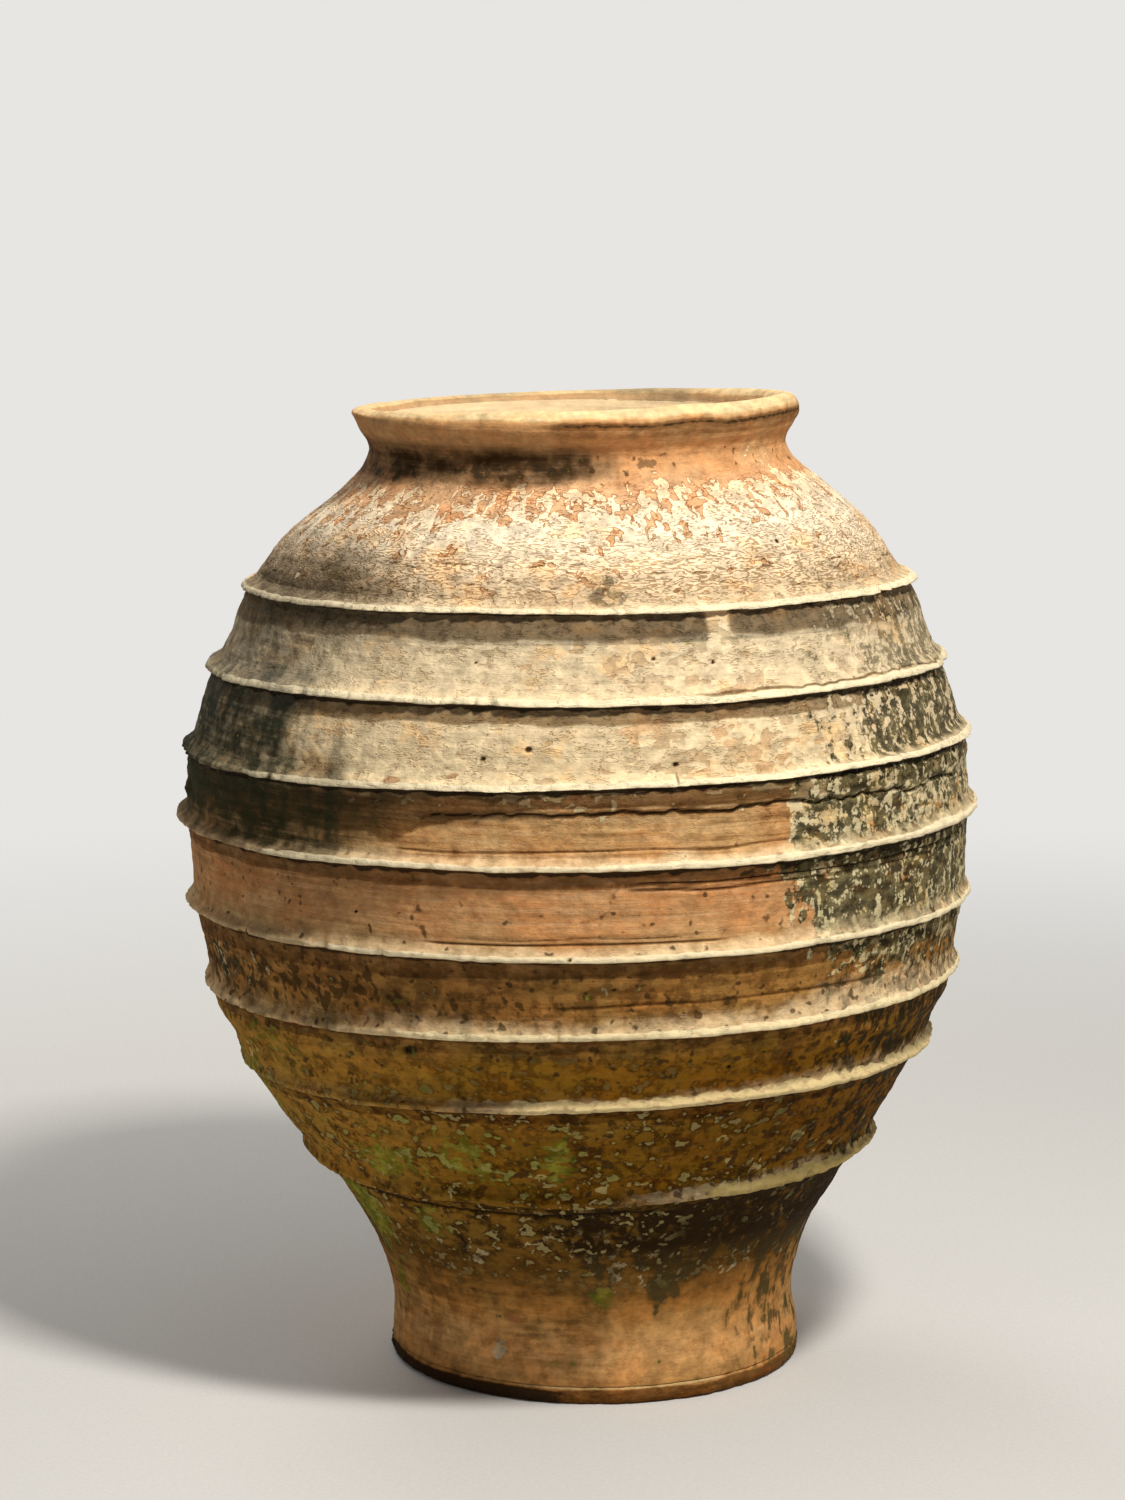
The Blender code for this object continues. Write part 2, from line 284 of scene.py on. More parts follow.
# How coarse the weathered face is, by level, and how strongly throwing lines it.
coarseness = curve_through((
    (0, 0.7), (0.05, 0.35), (0.13, 0.6), (0.2, 1.1), (0.28, 1.2), (0.4, 1), (0.46, 0.8), (0.5, 0.5),
    (0.56, 0.9), (0.62, 1), (0.7, 0.9), (0.8, 0.9), (0.86, 0.7), (0.9, 0.5), (0.95, 0.25),
))
lining = curve_through((
    (0, 0.4), (0.3, 0.6), (0.45, 0.6), (0.5, 0.45), (0.55, 1.3), (0.58, 1.6), (0.61, 1.8), (0.63, 0.9),
    (0.76, 0.8), (0.8, 1.2), (0.95, 0.5),
))

# Of each band: how far dirt and painted shadow reach under it in millimetres, how thick they are and how high
# the crease of painted shade is.
UNDER_REACHES = (14, 16, 16, 22, 20, 20, 20, 28)
UNDER_STRENGTHS = (0.75, 0.8, 0.7, 0.85, 0.9, 1.05, 0.95, 1.1)
CREASES = (3.5, 3.5, 3.5, 4, 5.5, 4.5, 5, 2)
# How far its wear reaches up and how far that is whole, in millimetres, and how pale it is: wear that is
# partly a painted highlight on the cove.
EDGE_REACHES = (10, 16, 27, 18, 17, 9, 9, 5)
EDGE_SOLIDS = (6, 7, 2.5, 1.2, 1.2, 1.2, 1.5, 1)
EDGE_STRENGTHS = (0.8, 0.95, 0.95, 1, 1, 1, 1, 1)
# How much of the pale wear is kept on the left of a band, dimmed there as painted shade, and the angle where
# it is full.
EDGE_LEFTS = (
    (0.1, 17), (0.3, -10), (0.5, -22), (0.55, -36), (0.6, -40), (0.75, -50), (0.85, -60), (0.9, -60),
)
# Two angles and a fade of the gap in the dirt and painted shadow under the top band.
SHADE_GAP = (21.5, 24, 1.4)

# By level: the film at the left, dark growth that is partly painted shade, and where it ends, the growth at
# the right and how softly it ends, the lime, the dark spots and the scaling.
left_film_and_shade = curve_through((
    (0, 0.35), (0.03, 0.36), (0.12, 0.5), (0.2, 0.3), (0.25, 0.12), (0.33, 0), (0.38, 0.2), (0.42, 0.36),
    (0.455, 0.3), (0.475, 0.36), (0.53, 0.34), (0.548, 0.4), (0.56, 0.8), (0.59, 0.95), (0.615, 0.92),
    (0.64, 0.88), (0.68, 0.95), (0.7, 0.75), (0.73, 0.52), (0.765, 0.6), (0.79, 0.72), (0.82, 0.5),
    (0.85, 0.22), (0.874, 0.2), (0.89, 0.72), (0.912, 0.75), (0.93, 0),
))
left_border = curve_through((
    (0, 0), (0.1, -0.1), (0.2, 0.1), (0.33, -0.2), (0.44, -0.25), (0.47, 0.1), (0.5, 0.3), (0.55, 0.56),
    (0.58, 0.6), (0.62, 0.6), (0.66, 0.74), (0.75, 0.72), (0.8, 0.6), (0.87, 0.5), (0.89, -0.1),
    (0.92, -0.1),
))
right_growth = curve_through((
    (0, 0.35), (0.06, 0.52), (0.12, 0.6), (0.2, 0.8), (0.25, 0.5), (0.33, 0.66), (0.42, 0.62), (0.47, 0.74),
    (0.5, 0.84), (0.56, 0.64), (0.6, 0.7), (0.66, 0.95), (0.72, 0.74), (0.76, 0.62), (0.8, 0.34),
    (0.87, 0.1), (0.93, 0),
))
right_softness = curve_through(((0.4, 0.3), (0.48, 0.09), (0.6, 0.1), (0.66, 0.34), (0.9, 0.4)))
bloom_cover = curve_through((
    (0, -0.3), (0.08, -0.3), (0.14, 0.16), (0.2, 0.12), (0.26, 0), (0.3, -0.25), (0.36, -0.3),
    (0.44, -0.15), (0.5, -0.25), (0.56, -0.35), (0.6, -0.1), (0.63, 0.8), (0.7, 0.88), (0.76, 0.84),
    (0.79, 0.92), (0.82, 1.02), (0.84, 0.94), (0.852, 0.76), (0.866, 0.62), (0.876, 0.58), (0.885, 0.16),
    (0.9, -0.1), (0.95, 0),
))
spotting = curve_through((
    (0, 0), (0.08, 0.02), (0.15, 0.16), (0.25, 0.26), (0.33, 0.18), (0.4, 0.16), (0.43, 0.21), (0.46, 0.16),
    (0.5, 0.12), (0.56, 0.06), (0.6, 0.03), (0.87, 0), (0.895, 0.16), (0.91, 0.1), (0.925, 0), (0.94, 0),
))
scaling = curve_through((
    (0, 0.25), (0.2, 0.4), (0.45, 0.35), (0.5, 0.15), (0.56, 0.35), (0.62, 0.6), (0.76, 0.7), (0.8, 1),
    (0.87, 1), (0.89, 0.3), (0.95, 0),
))
# Angle, height, half width, half height and fullness of each dark stain, and of each patch of moss.
STAINS = (
    (-58, 0.893, 0.08, 0.018, 0.7), (-25, 0.899, 0.06, 0.013, 0.66), (17, 0.901, 0.03, 0.012, 0.62),
    (-8, 0.9, 0.05, 0.01, 0.5), (5, 0.787, 0.03, 0.015, 0.98), (5, 0.801, 0.014, 0.01, 0.9),
    (-26, 0.377, 0.016, 0.006, 0.8), (-60, 0.8, 0.05, 0.02, 0.42), (42, 0.165, 0.08, 0.045, 0.95),
    (-26, 0.083, 0.01, 0.004, 0.7), (-50, 0.345, 0.1, 0.02, 0.4), (-65, 0.43, 0.12, 0.04, 0.55),
    (160, 0.88, 0.07, 0.02, 0.5),
)
MOSS_SPOTS = (
    (-64, 0.175, 0.06, 0.075, 1), (-22, 0.262, 0.045, 0.036, 0.8), (-5, 0.262, 0.028, 0.048, 0.85),
    (3, 0.11, 0.018, 0.014, 0.85), (-40, 0.255, 0.08, 0.04, 0.62), (-75, 0.3, 0.11, 0.07, 0.7),
    (-66, 0.1, 0.035, 0.05, 0.6), (-38, 0.185, 0.06, 0.035, 0.55), (-60, 0.36, 0.1, 0.03, 0.5),
    (150, 0.2, 0.1, 0.07, 0.8), (-150, 0.3, 0.12, 0.05, 0.7),
)


def wall_core(turn, level):
    """The wall's outer face without its fine relief."""
    return outline(level) + wall_offset(level) + sway(level) * sine(turn) + LOBE_SIZE * lobes(turn, level)


def placed_relief(turn, level):
    """How far cracks, pits and lumps move the wall out, and how dark they are with dirt and painted shade,
    each where the jar has it.
    """
    wave = wander(turn, level) * MM
    jag = jags(turn, 0.5) * MM
    out = 0 * (turn + level)
    dark = 0 * (turn + level)

    def groove(share, height, half, depth, darkness):
        nonlocal out, dark
        cut = share * line(level, height, half)
        out -= depth * MM * cut
        dark = np.maximum(dark, darkness * cut)

    # The strip left by the sixth band's smeared clay, ended by a jagged ledge and a crack under it.
    strip = arc(turn, -20, 70)
    ledge = BAND_HEIGHTS[5] - 0.0165 + 3 * wave + 1.8 * jag + 0.003 * np.cos(turn * TAU * 3)
    out += strip * 2.6 * MM * within(level - ledge, -0.0006, 0.001, 0.017, 0.021)
    groove(strip, ledge - 0.0016, 0.003, 2.2, 1)
    for start, end, fade, height, waves, jagged, half, depth, darkness in GROOVES:
        groove(arc(turn, start, end, fade), height + waves * wave + jagged * jag, half, depth, darkness)
    for above, row in CRACK_ROWS:
        drop = 2.5 * MM * patches_small(turn, row) + 1.4 * MM * plates_fine(turn, row)
        share = ease(0.1, 0.6, 0.6 * plates(turn, row) + 0.7 * patches_small(turn, row + 0.1))
        groove(share, BAND_TOPS[7] + above + drop, 0.0016, 1.2, 0.85)
    # The hollow under the third band, and the nick and its crack in the sixth.
    hollow = spot(turn, level, -27, BAND_HEIGHTS[2] - 0.01, 0.01, 0.006)
    nick = spot(turn, level, 13, BAND_HEIGHTS[5] + 0.012, 0.0024, 0.013)
    out -= (3 * hollow + 2.2 * nick) * MM
    # Both are darkened, dirt and painted shade in the hollows.
    dark = np.maximum(dark, np.maximum(0.9 * hollow, nick))
    for angle, height, half in PITS:
        pit = spot(turn, level, angle, height, half, half * 0.8)
        out -= 3 * MM * pit
        dark = np.maximum(dark, 1.5 * pit)
    # The lump at the left of the belly, and the swelling at the right of the foot.
    out += 5 * MM * spot(turn, level, -80, 0.586, 0.022, 0.016)
    out += 4.5 * MM * spot(turn, level, 78, 0.04, 0.045, 0.032)
    return out, dark


def wall_face(turn, level):
    """The wall's outer face, with all its relief."""
    out = 0.55 * dents(turn, level)
    out += lining(level) * (0.6 * throwing(turn, level) + 0.34 * fine_throwing(turn, level))
    out += coarseness(level) * (0.55 * pocks(turn, level) + 0.45 * lumps(turn, level))
    out += 0.8 * scaling(level) * lime(turn, level)
    return wall_core(turn, level) + MM * out + placed_relief(turn, level)[0]


def inner_place(level):
    """Radius and height of the inner wall, straight through the clay from the outer wall at a level."""
    step = WALL * 0.002
    run = (outline(level + step) - outline(level - step)) / (2 * step)
    length = np.hypot(1, run)
    return outline(level) - WALL / length, level + WALL * run / length


def nose_of(index):
    """The underside and the top of a band's nose, as levels."""
    bottom = BAND_HEIGHTS[index] + MM * NOSE_HEIGHTS[index]
    return bottom, bottom + MM * NOSE_THICKNESSES[index]


def near_bands(turn, level):
    """How near a place is to a band's worn edge, pale partly as a painted highlight, and how far it lies in
    the dirt and painted shadow below one.
    """
    edge = 0 * (turn + level)
    under = placed_relief(turn, level)[1]
    angle, side = degrees(turn), sine(turn)
    right = ease(0.35, 0.7, side)
    for index, height in enumerate(BAND_HEIGHTS):
        bottom, top = nose_of(index)
        uneven, small, jag = patches(turn, height), patches_small(turn, height), jags(turn, height)
        reach = MM * EDGE_REACHES[index] * (1 + 0.5 * shift(turn, height) + 0.35 * small)
        whole = MM * EDGE_SOLIDS[index] * (1 + 0.5 * jag + 0.3 * vertical(turn, height))
        whole = 1 - ease(-0.0006, 0.0006, level - top - whole)
        # The pale wear reaches further at the right, a painted highlight where light falls.
        faded = 1 - ease(0, 1, (level - top) / (reach * (1 + 0.5 * right)))
        # The pale wear is dimmed at the left as painted shade.
        kept, start = EDGE_LEFTS[index]
        sided = ease(start - 18, start + 6, angle) * (1 - ease(110, 172, angle + 14 * uneven))
        strength = EDGE_STRENGTHS[index] * (kept + (1 - kept) * sided) * (1 + 0.22 * uneven + 0.15 * right)
        above = whole + 0.72 * (1 - whole) * faded
        edge = np.maximum(edge, strength * above * ease(-0.0012, 0.0004, level - bottom))
        # Below the nose: a strip of dirt and painted shadow, and a dark crease of painted shade, stronger at
        # the right.
        depth = (bottom - level) / MM
        down = UNDER_REACHES[index] * (1 + 0.12 * small)
        down = down * (1 + 1.5 * (index == 5) * ease(0.1, 0.5, -side))
        strip = 0.66 * (1 - ease(0.78, 1, depth / down))
        crease = 0.38 * (1 - ease(0.6, 1.3, depth / (CREASES[index] * (1 + 0.5 * jag))))
        dirty_and_shaded = UNDER_STRENGTHS[index] * (1 - 0.7 * arc(turn, *SHADE_GAP) * (index == 7))
        under = np.maximum(under, (strip * dirty_and_shaded + crease * (0.75 + 0.25 * right)) * ease(-0.3, 0.5, depth))
    return edge, under


def sides(turn, level):
    """How far a place lies in the darker left of the jar and in its lichened right, from none to full."""
    side = sine(turn)
    uneven, streaky, small = patches(turn, level), vertical(turn, level), patches_small(turn, level)
    wide = 1 - 0.5 * line(level, 0.67, 0.06)
    leftward = -side - left_border(level) + 0.12 * uneven + 0.05 * streaky + 0.05 * small
    left = ease(-0.3 * wide, 0.2 * wide, leftward)
    soft = right_softness(level)
    right = ease(-soft, soft, side - 0.47 - 0.5 * soft + 0.05 * uneven + 0.04 * streaky)
    behind = -np.cos(turn * TAU) + 0.4 * shift(turn, level) + 0.3 * uneven + 0.2 * small
    return left * (1 - 0.8 * ease(0.1, 0.8, behind)), right * (1 - ease(-0.2, 0.7, behind))


def lime(turn, level):
    """Where the pale lime still sits on the clay: none in the flaked places, full elsewhere."""
    left, right = sides(turn, level)
    cover = bloom_cover(level) + 0.14 * patches(turn, level) + 0.08 * patches_small(turn, level) - 0.12 * left
    limed = 0.12 * ease(0.3, 0.4, level) + 0.95 * within(level, 0.37, 0.5, 0.6, 0.63)
    cover = cover + ease(0.45, 0.9, right) * limed
    cover = cover + 0.3 * ease(0.1, 0.7, -sine(turn)) * line(level, 0.34, 0.055)
    # Less on the clean panel under the top bands, more above the foot, and a scuff on the foot.
    cover = cover - 0.42 * arc(turn, 9, 27, 7) * within(level, 0.61, 0.64, 0.75, 0.77)
    cover = cover + 0.26 * spot(turn, level, -3, 0.195, 0.085, 0.05)
    cover = cover + 1.8 * spot(turn, level, -27, 0.05, 0.02, 0.017)
    bent = turn + 0.003 * plates_fine(turn + 0.4, level) + 0.0016 * pocks(turn + 0.2, level)
    level = level + 0.003 * plates_fine(turn + 0.7, level) + 0.0014 * pocks(turn + 0.6, level)
    big = ease(0.55, 0.8, level) * (1 - 0.8 * ease(0.82, 0.86, level))
    flakes = (0.35 + 0.3 * big) * plates(bent, level) + (0.65 - 0.3 * big) * plates_fine(bent, level)
    return ease(-0.1, 0.1, flakes + 1.15 * (cover - 0.5)) * (level < 0.912)


def growths(turn, level):
    """Where dark growth, spots, a film that is partly painted shade, lime, moss and scaling sit on the wall,
    each from none to full.
    """
    side, front = sine(turn), np.cos(turn * TAU)
    uneven, small = patches(turn, level), patches_small(turn, level)
    left, right = sides(turn, level)
    film_and_shade = left * left_film_and_shade(level) * (1 + 0.2 * uneven)
    # A strip of painted shadow and dirt under the top band, strongest at the front, broken by the gap.
    strip = within(level, BAND_HEIGHTS[7] - 0.027, BAND_HEIGHTS[7] - 0.025, 0.773, 0.775)
    strip = 0.5 * strip * (1 - arc(turn, *SHADE_GAP)) * (1 + 0.3 * uneven) * (0.6 + 0.4 * front)
    film_and_shade = np.maximum(film_and_shade, strip)
    film_and_shade = np.maximum(film_and_shade, ease(0.1, 0.9, -front) * (0.3 + 0.35 * uneven) * ease(0.1, 0.3, level))
    drips = 0.03 * patches_small(turn, 0.1) + 0.016 * small + 0.008 * vertical(turn, 0.1)
    foot = ease(0.095, 0.155, level + drips) * (1 - ease(0.212, 0.225, level))
    far_left = ease(0.2, 0.8, -side)
    film_and_shade = np.maximum(film_and_shade, foot * (0.48 + 0.24 * uneven + 0.44 * ease(-0.1, 0.75, side) - 0.42 * far_left))
    foot = foot * (0.46 + 0.26 * ease(-0.3, 0.75, side) + 0.2 * uneven - 0.12 * far_left)
    # Painted shade on the right of the shoulder.
    shaded_right = ease(0.3, 0.7, side) * within(level, 0.62, 0.68, 0.86, 0.88)
    film_and_shade = np.maximum(film_and_shade, shaded_right * (0.2 + 0.1 * uneven))
    behind = ease(0.3, 0.9, -front) * (0.3 + 0.25 * uneven) * within(level, 0.05, 0.2, 0.85, 0.9)
    spots = spotting(level) * (1 + 0.4 * uneven) + 0.34 * ease(0.3, 0.8, -side) * line(level, 0.43, 0.04)
    spots = spots + 0.1 * ease(0.3, 0.8, side) * within(level, 0.25, 0.4, 0.7, 0.78)
    stains = fullest(STAINS, turn, level)
    dark = np.maximum.reduce([right * right_growth(level), behind, foot, stains]) + 0.06 * small
    moss = fullest(MOSS_SPOTS, turn, level)
    low = line(level, 0.262, 0.065) * ease(-0.55, 0.2, -side)
    low = low + 0.6 * line(level, 0.33, 0.09) * ease(-0.2, 0.7, -side)
    moss = np.maximum(moss, 0.27 * low) + 0.16 * small * ease(0.05, 0.3, low + moss)
    scaly = scaling(level) * (1 + 0.4 * uneven)
    return tuple(np.clip(mark, 0, 1) for mark in (dark, spots, film_and_shade, lime(turn, level), moss, scaly))


def placed_fresh(turn, level):
    """Chips and flaked places that show redder clay."""
    fresh = 0.8 * spot(turn, level, 40, BAND_HEIGHTS[3] + 0.004, 0.01, 0.005)
    fresh = np.maximum(fresh, 0.9 * spot(turn, level, -3.2, BAND_HEIGHTS[5] - 0.01, 0.006, 0.006))
    torn = arc(turn, -28, -12) * line(level, BAND_HEIGHTS[5] + 0.015, 0.009)
    fresh = np.maximum(fresh, torn * ease(0, 0.4, patches_small(turn, level) + 0.5 * plates(turn, level)))
    return np.maximum(fresh, 1.3 * spot(turn, level, -21, 0.082, 0.014, 0.006))


MARKS = ("level", "edge", "under", "fresh", "inside", "dark", "spots", "film_and_shade", "cover", "moss", "scaly")


class Clay:
    """One piece of the jar while its rows are laid: radius, height and marks of every point."""

    def __init__(self, name, slot, columns=COLUMNS):
        self.name = name
        self.slot = slot
        self.turn = np.arange(columns)[None, :] / columns
        self.runs = []

    def lay(self, radius, height, level, edge=0, under=0, fresh=0, inside=0):
        """Adds rows of points. What is the same for a whole row or ring is given once."""
        flat = np.zeros((np.broadcast(radius, height, level).shape[0], self.turn.shape[1]))
        marks = (level, edge, under, fresh, inside, *growths(self.turn, level + flat))
        self.runs.append([flat + radius, flat + height, *(flat + mark for mark in marks)])

    def lay_wall(self, levels):
        """The weathered outer face."""
        level = levels[:, None]
        edge, under = near_bands(self.turn, level)
        self.lay(wall_face(self.turn, level), level, level, edge, under, placed_fresh(self.turn, level))

    def lay_seat(self, levels):
        """Rows hidden behind a band."""
        level = levels[:, None]
        self.lay(wall_core(self.turn, level) - SEAT_DEPTH - SEAT_CLEARANCE, level, level)

    def lay_inside(self, levels):
        """The plain inner side, with the ridges of the potter's fingers."""
        level = levels[:, None]
        radius, height = inner_place(level)
        ridges = 0.7 * MM * throwing(self.turn, level) + 0.5 * MM * dents(self.turn, level)
        bent = sway(level) * sine(self.turn) + 1.2 * MM * lobes(self.turn, level)
        self.lay(radius + bent + ridges, height, level, inside=1)

    def fire(self, *nodes, closed=True):
        """Makes the mesh, leaning and tilted as the jar is, sets it under the root and hides the imported
        parts of its nodes.
        """
        radius, height, *marks = (np.concatenate(rows) for rows in zip(*self.runs))
        x, y = radius * sine(self.turn), -radius * np.cos(self.turn * TAU)
        rise_x, rise_y = (np.interp(height, TILT_HEIGHTS, tilts) for tilts in zip(*TILT_SHARES))
        leant = x - LEAN_SHARE * (height - BELLY_HEIGHT)
        points = np.stack([leant, y, height + rise_x * x + rise_y * y], axis=-1)
        obj = ring_mesh(self.name, points, closed, dict(zip(MARKS, marks)))
        obj.data.materials.append(FINISHES[self.slot])
        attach(obj, "root")
        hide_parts(*nodes)


def ring_mesh(name, points, closed, marks):
    """A closed mesh from rows of points round the jar. An open run of rows ends in points on the axis."""
    rows, columns, _ = points.shape
    grid = np.arange(rows * columns).reshape(rows, columns)
    above = np.roll(grid, -1, axis=0) if closed else grid[1:]
    below = grid if closed else grid[:-1]
    quads = np.stack([below, np.roll(below, -1, 1), np.roll(above, -1, 1), above], axis=-1).reshape(-1, 4)
    vertices = points.reshape(-1, 3)
    triangles = np.zeros((0, 3), dtype=int)
    if not closed:
        start, end = rows * columns, rows * columns + 1
        first, last = grid[0], grid[-1]
        low = np.stack([np.full(columns, start), np.roll(first, -1), first], axis=-1)
        high = np.stack([np.full(columns, end), last, np.roll(last, -1)], axis=-1)
        triangles = np.concatenate([low, high])
        vertices = np.concatenate([vertices, [points[0].mean(axis=0), points[-1].mean(axis=0)]])
    mesh = bpy.data.meshes.new(name)
    corners = np.concatenate([quads.ravel(), triangles.ravel()]).astype(np.int32)
    starts = np.concatenate([np.arange(len(quads)) * 4, len(quads) * 4 + np.arange(len(triangles)) * 3])
    mesh.vertices.add(len(vertices))
    mesh.loops.add(len(corners))
    mesh.polygons.add(len(starts))
    mesh.vertices.foreach_set("co", vertices.astype(np.float32).ravel())
    mesh.loops.foreach_set("vertex_index", corners)
    mesh.polygons.foreach_set("loop_start", starts.astype(np.int32))
    mesh.update(calc_edges=True)
    mesh.validate()
    lay_out(mesh, points, closed, corners)
    for mark, values in marks.items():
        flat = values.ravel()
        if not closed:
            flat = np.concatenate([flat, [flat[0], flat[-1]]])
        mesh.attributes.new(mark, "FLOAT", "POINT").data.foreach_set("value", flat.astype(np.float32))
    mesh.shade_smooth()
    mesh.set_sharp_from_angle(angle=math.radians(SHARP_ANGLE))
    return placed(name, mesh)


def placed(name, data):
    """A new object in the scene."""
    obj = bpy.data.objects.new(name, data)
    bpy.context.scene.collection.objects.link(obj)
    return obj


def lay_out(mesh, points, closed, corners):
    """A layout for baking: the ring is cut into lengths, which are laid one above another."""
    rows, columns, _ = points.shape
    steps = np.linalg.norm(np.diff(points[:, 0], axis=0, append=points[:1, 0]), axis=1)
    along = np.concatenate([[0], np.cumsum(steps)])
    size = along[-1] if closed else along[-2]
    around = TAU * np.hypot(points[..., 0], points[..., 1]).mean()
    lengths = max(1, round(math.sqrt(around / size)))
    while columns % lengths:
        lengths -= 1
    quads = len(corners) if closed else (rows - 1) * columns * 4
    first = corners[:quads:4, None]
    left, low = first % columns, first // columns
    part = left * lengths // columns
    across = (left + [0, 1, 1, 0]) * lengths / columns - part
    up = along[low + [0, 0, 1, 1]] / size
    inset = 0.004
    u, v = np.zeros((2, len(corners)))
    u[:quads] = (inset + (1 - 2 * inset) * across).ravel()
    v[:quads] = ((part + inset * lengths + (1 - 2 * inset * lengths) * up) / lengths).ravel()
    if not closed:
        u[quads:] = 0.5 + 0.001 * sine(corners[quads:] % columns / columns)
        v[quads:] = 0.001
    uv = mesh.uv_layers.new(name="OFBake")
    uv.data.foreach_set("uv", np.stack([u, v], axis=1).astype(np.float32).ravel())


def spaced(low, high, step):
    """Levels from one to another, about a step apart."""
    return np.linspace(low, high, max(2, int(abs(high - low) / step) + 2))


def rounded(corners, step, blur):
    """Points about a step apart along a line of corners, with the corners rounded off."""
    corners = np.array(corners)
    along = np.concatenate([[0], np.cumsum(np.hypot(*np.diff(corners, axis=0).T))])
    fine = np.linspace(0, along[-1], int(along[-1] / blur * 12))
    width = 13
    path = np.stack([np.interp(fine, along, column) for column in corners.T], axis=1)
    longer = np.concatenate([2 * path[0] - path[width:0:-1], path, 2 * path[-1] - path[-2:-width - 2:-1]])
    kernel = np.hanning(2 * width + 1)
    kernel /= kernel.sum()
    smooth = np.stack([np.convolve(column, kernel, "valid") for column in longer.T], axis=1)
    rows = np.linspace(0, along[-1], int(along[-1] / step) + 2)
    return np.stack([np.interp(rows, fine, column) for column in smooth.T], axis=1)


class Field:
    """A value that changes over the clay: the output of a node in a finish."""

    def __init__(self, finish, socket):
        self.finish = finish
        self.socket = socket

    def __add__(self, other):
        return self.finish.math("ADD", self, other)

    def __sub__(self, other):
        return self.finish.math("SUBTRACT", self, other)

    def __rsub__(self, other):
        return self.finish.math("SUBTRACT", other, self)

    def __mul__(self, other):
        return self.finish.math("MULTIPLY", self, other)

    __radd__ = __add__
    __rmul__ = __mul__


class Finish:
    """The nodes of a material or of the world, built one by one."""

    def __init__(self, owner):
        owner.use_nodes = True
        self.owner = owner
        self.tree = owner.node_tree
        self.tree.nodes.clear()

    def node(self, kind, settings=None, inputs=None, output=0):
        made = self.tree.nodes.new("ShaderNode" + kind)
        for key, value in (settings or {}).items():
            setattr(made, key, value)
        for key, value in (inputs or {}).items():
            if isinstance(value, Field):
                self.tree.links.new(value.socket, made.inputs[key])
            else:
                made.inputs[key].default_value = value
        return Field(self, made.outputs[output]) if len(made.outputs) else made

    def math(self, operation, first, second):
        return self.node("Math", {"operation": operation}, {0: first, 1: second})

    def mark(self, name):
        """A mark laid with the rows."""
        return self.node("Attribute", {"attribute_name": name}, output="Fac")

    def noise(self, wide, high, detail, seed, roughness=0.55):
        """Cloudy noise around a half, with grains so wide and so high in metres."""
        place = self.node("TexCoord", output="Object")
        scale = (1 / wide, 1 / wide, 1 / high)
        scaled = self.node("VectorMath", {"operation": "MULTIPLY"}, {0: place, 1: scale})
        moved = self.node("VectorMath", {"operation": "ADD"}, {0: scaled, 1: (seed, 2.3 * seed, 0.7 * seed)})
        inputs = {"Vector": moved, "Scale": 1, "Detail": detail, "Roughness": roughness}
        return self.node("TexNoise", {}, inputs)

    def cut(self, value, low, high):
        """Zero below one value, one above another, smooth between."""
        inputs = {"Value": value, "From Min": low, "From Max": high}
        return self.node("MapRange", {"interpolation_type": "SMOOTHSTEP"}, inputs)

    def ramp(self, place, stops):
        """A colour that changes with a place, through stops of place and colour."""
        colour = self.node("ValToRGB", {}, {0: place})
        elements = colour.socket.node.color_ramp.elements
        while len(elements) < len(stops):
            elements.new(1)
        for element, (at, stop) in zip(elements, stops):
            element.position = at
            element.color = (*stop, 1)
        return colour

    def blend(self, share, first, second, how="MIX"):
        first, second = (end if isinstance(end, Field) else (*end, 1) for end in (first, second))
        settings = {"data_type": "RGBA", "blend_type": how}
        return self.node("Mix", settings, {0: share, 6: first, 7: second}, output=2)

    def tint(self, share, colour, glaze):
        """A colour seen through a thin glaze of another."""
        return self.blend(share, colour, glaze, "MULTIPLY")

    def lit(self, colour, strength):
        """A colour made darker or lighter."""
        return self.node("VectorMath", {"operation": "SCALE"}, {0: colour, "Scale": strength})


# The clay's colour by level, from the ground to the crest, and the colours of what lies on it.
# Below the belly, from 0.13 to 0.45, the clay is darker partly as painted shade.
CLAY_BY_LEVEL = (
    (0, (0.38, 0.185, 0.05)), (0.05, (0.74, 0.41, 0.155)), (0.095, (0.54, 0.27, 0.07)),
    (0.135, (0.2, 0.1, 0.018)), (0.2, (0.21, 0.112, 0.014)), (0.235, (0.22, 0.108, 0.008)),
    (0.28, (0.22, 0.108, 0.009)), (0.31, (0.3, 0.156, 0.023)), (0.33, (0.27, 0.133, 0.013)),
    (0.365, (0.28, 0.136, 0.012)), (0.395, (0.46, 0.265, 0.085)), (0.415, (0.38, 0.188, 0.048)),
    (0.445, (0.38, 0.188, 0.048)), (0.47, (0.56, 0.34, 0.14)), (0.5, (0.62, 0.325, 0.135)),
    (0.53, (0.58, 0.29, 0.115)), (0.55, (0.66, 0.39, 0.17)), (0.575, (0.58, 0.34, 0.14)),
    (0.605, (0.44, 0.26, 0.112)), (0.625, (0.62, 0.46, 0.26)), (0.665, (0.66, 0.48, 0.27)),
    (0.7, (0.68, 0.51, 0.31)), (0.75, (0.54, 0.43, 0.26)), (0.782, (0.64, 0.46, 0.27)),
    (0.82, (0.7, 0.46, 0.24)), (0.862, (0.74, 0.44, 0.23)), (0.88, (0.74, 0.43, 0.22)),
    (0.9, (0.64, 0.37, 0.17)), (0.928, (0.6, 0.34, 0.148)), (0.94, (0.66, 0.41, 0.185)),
    (0.948, (0.85, 0.66, 0.365)),
)
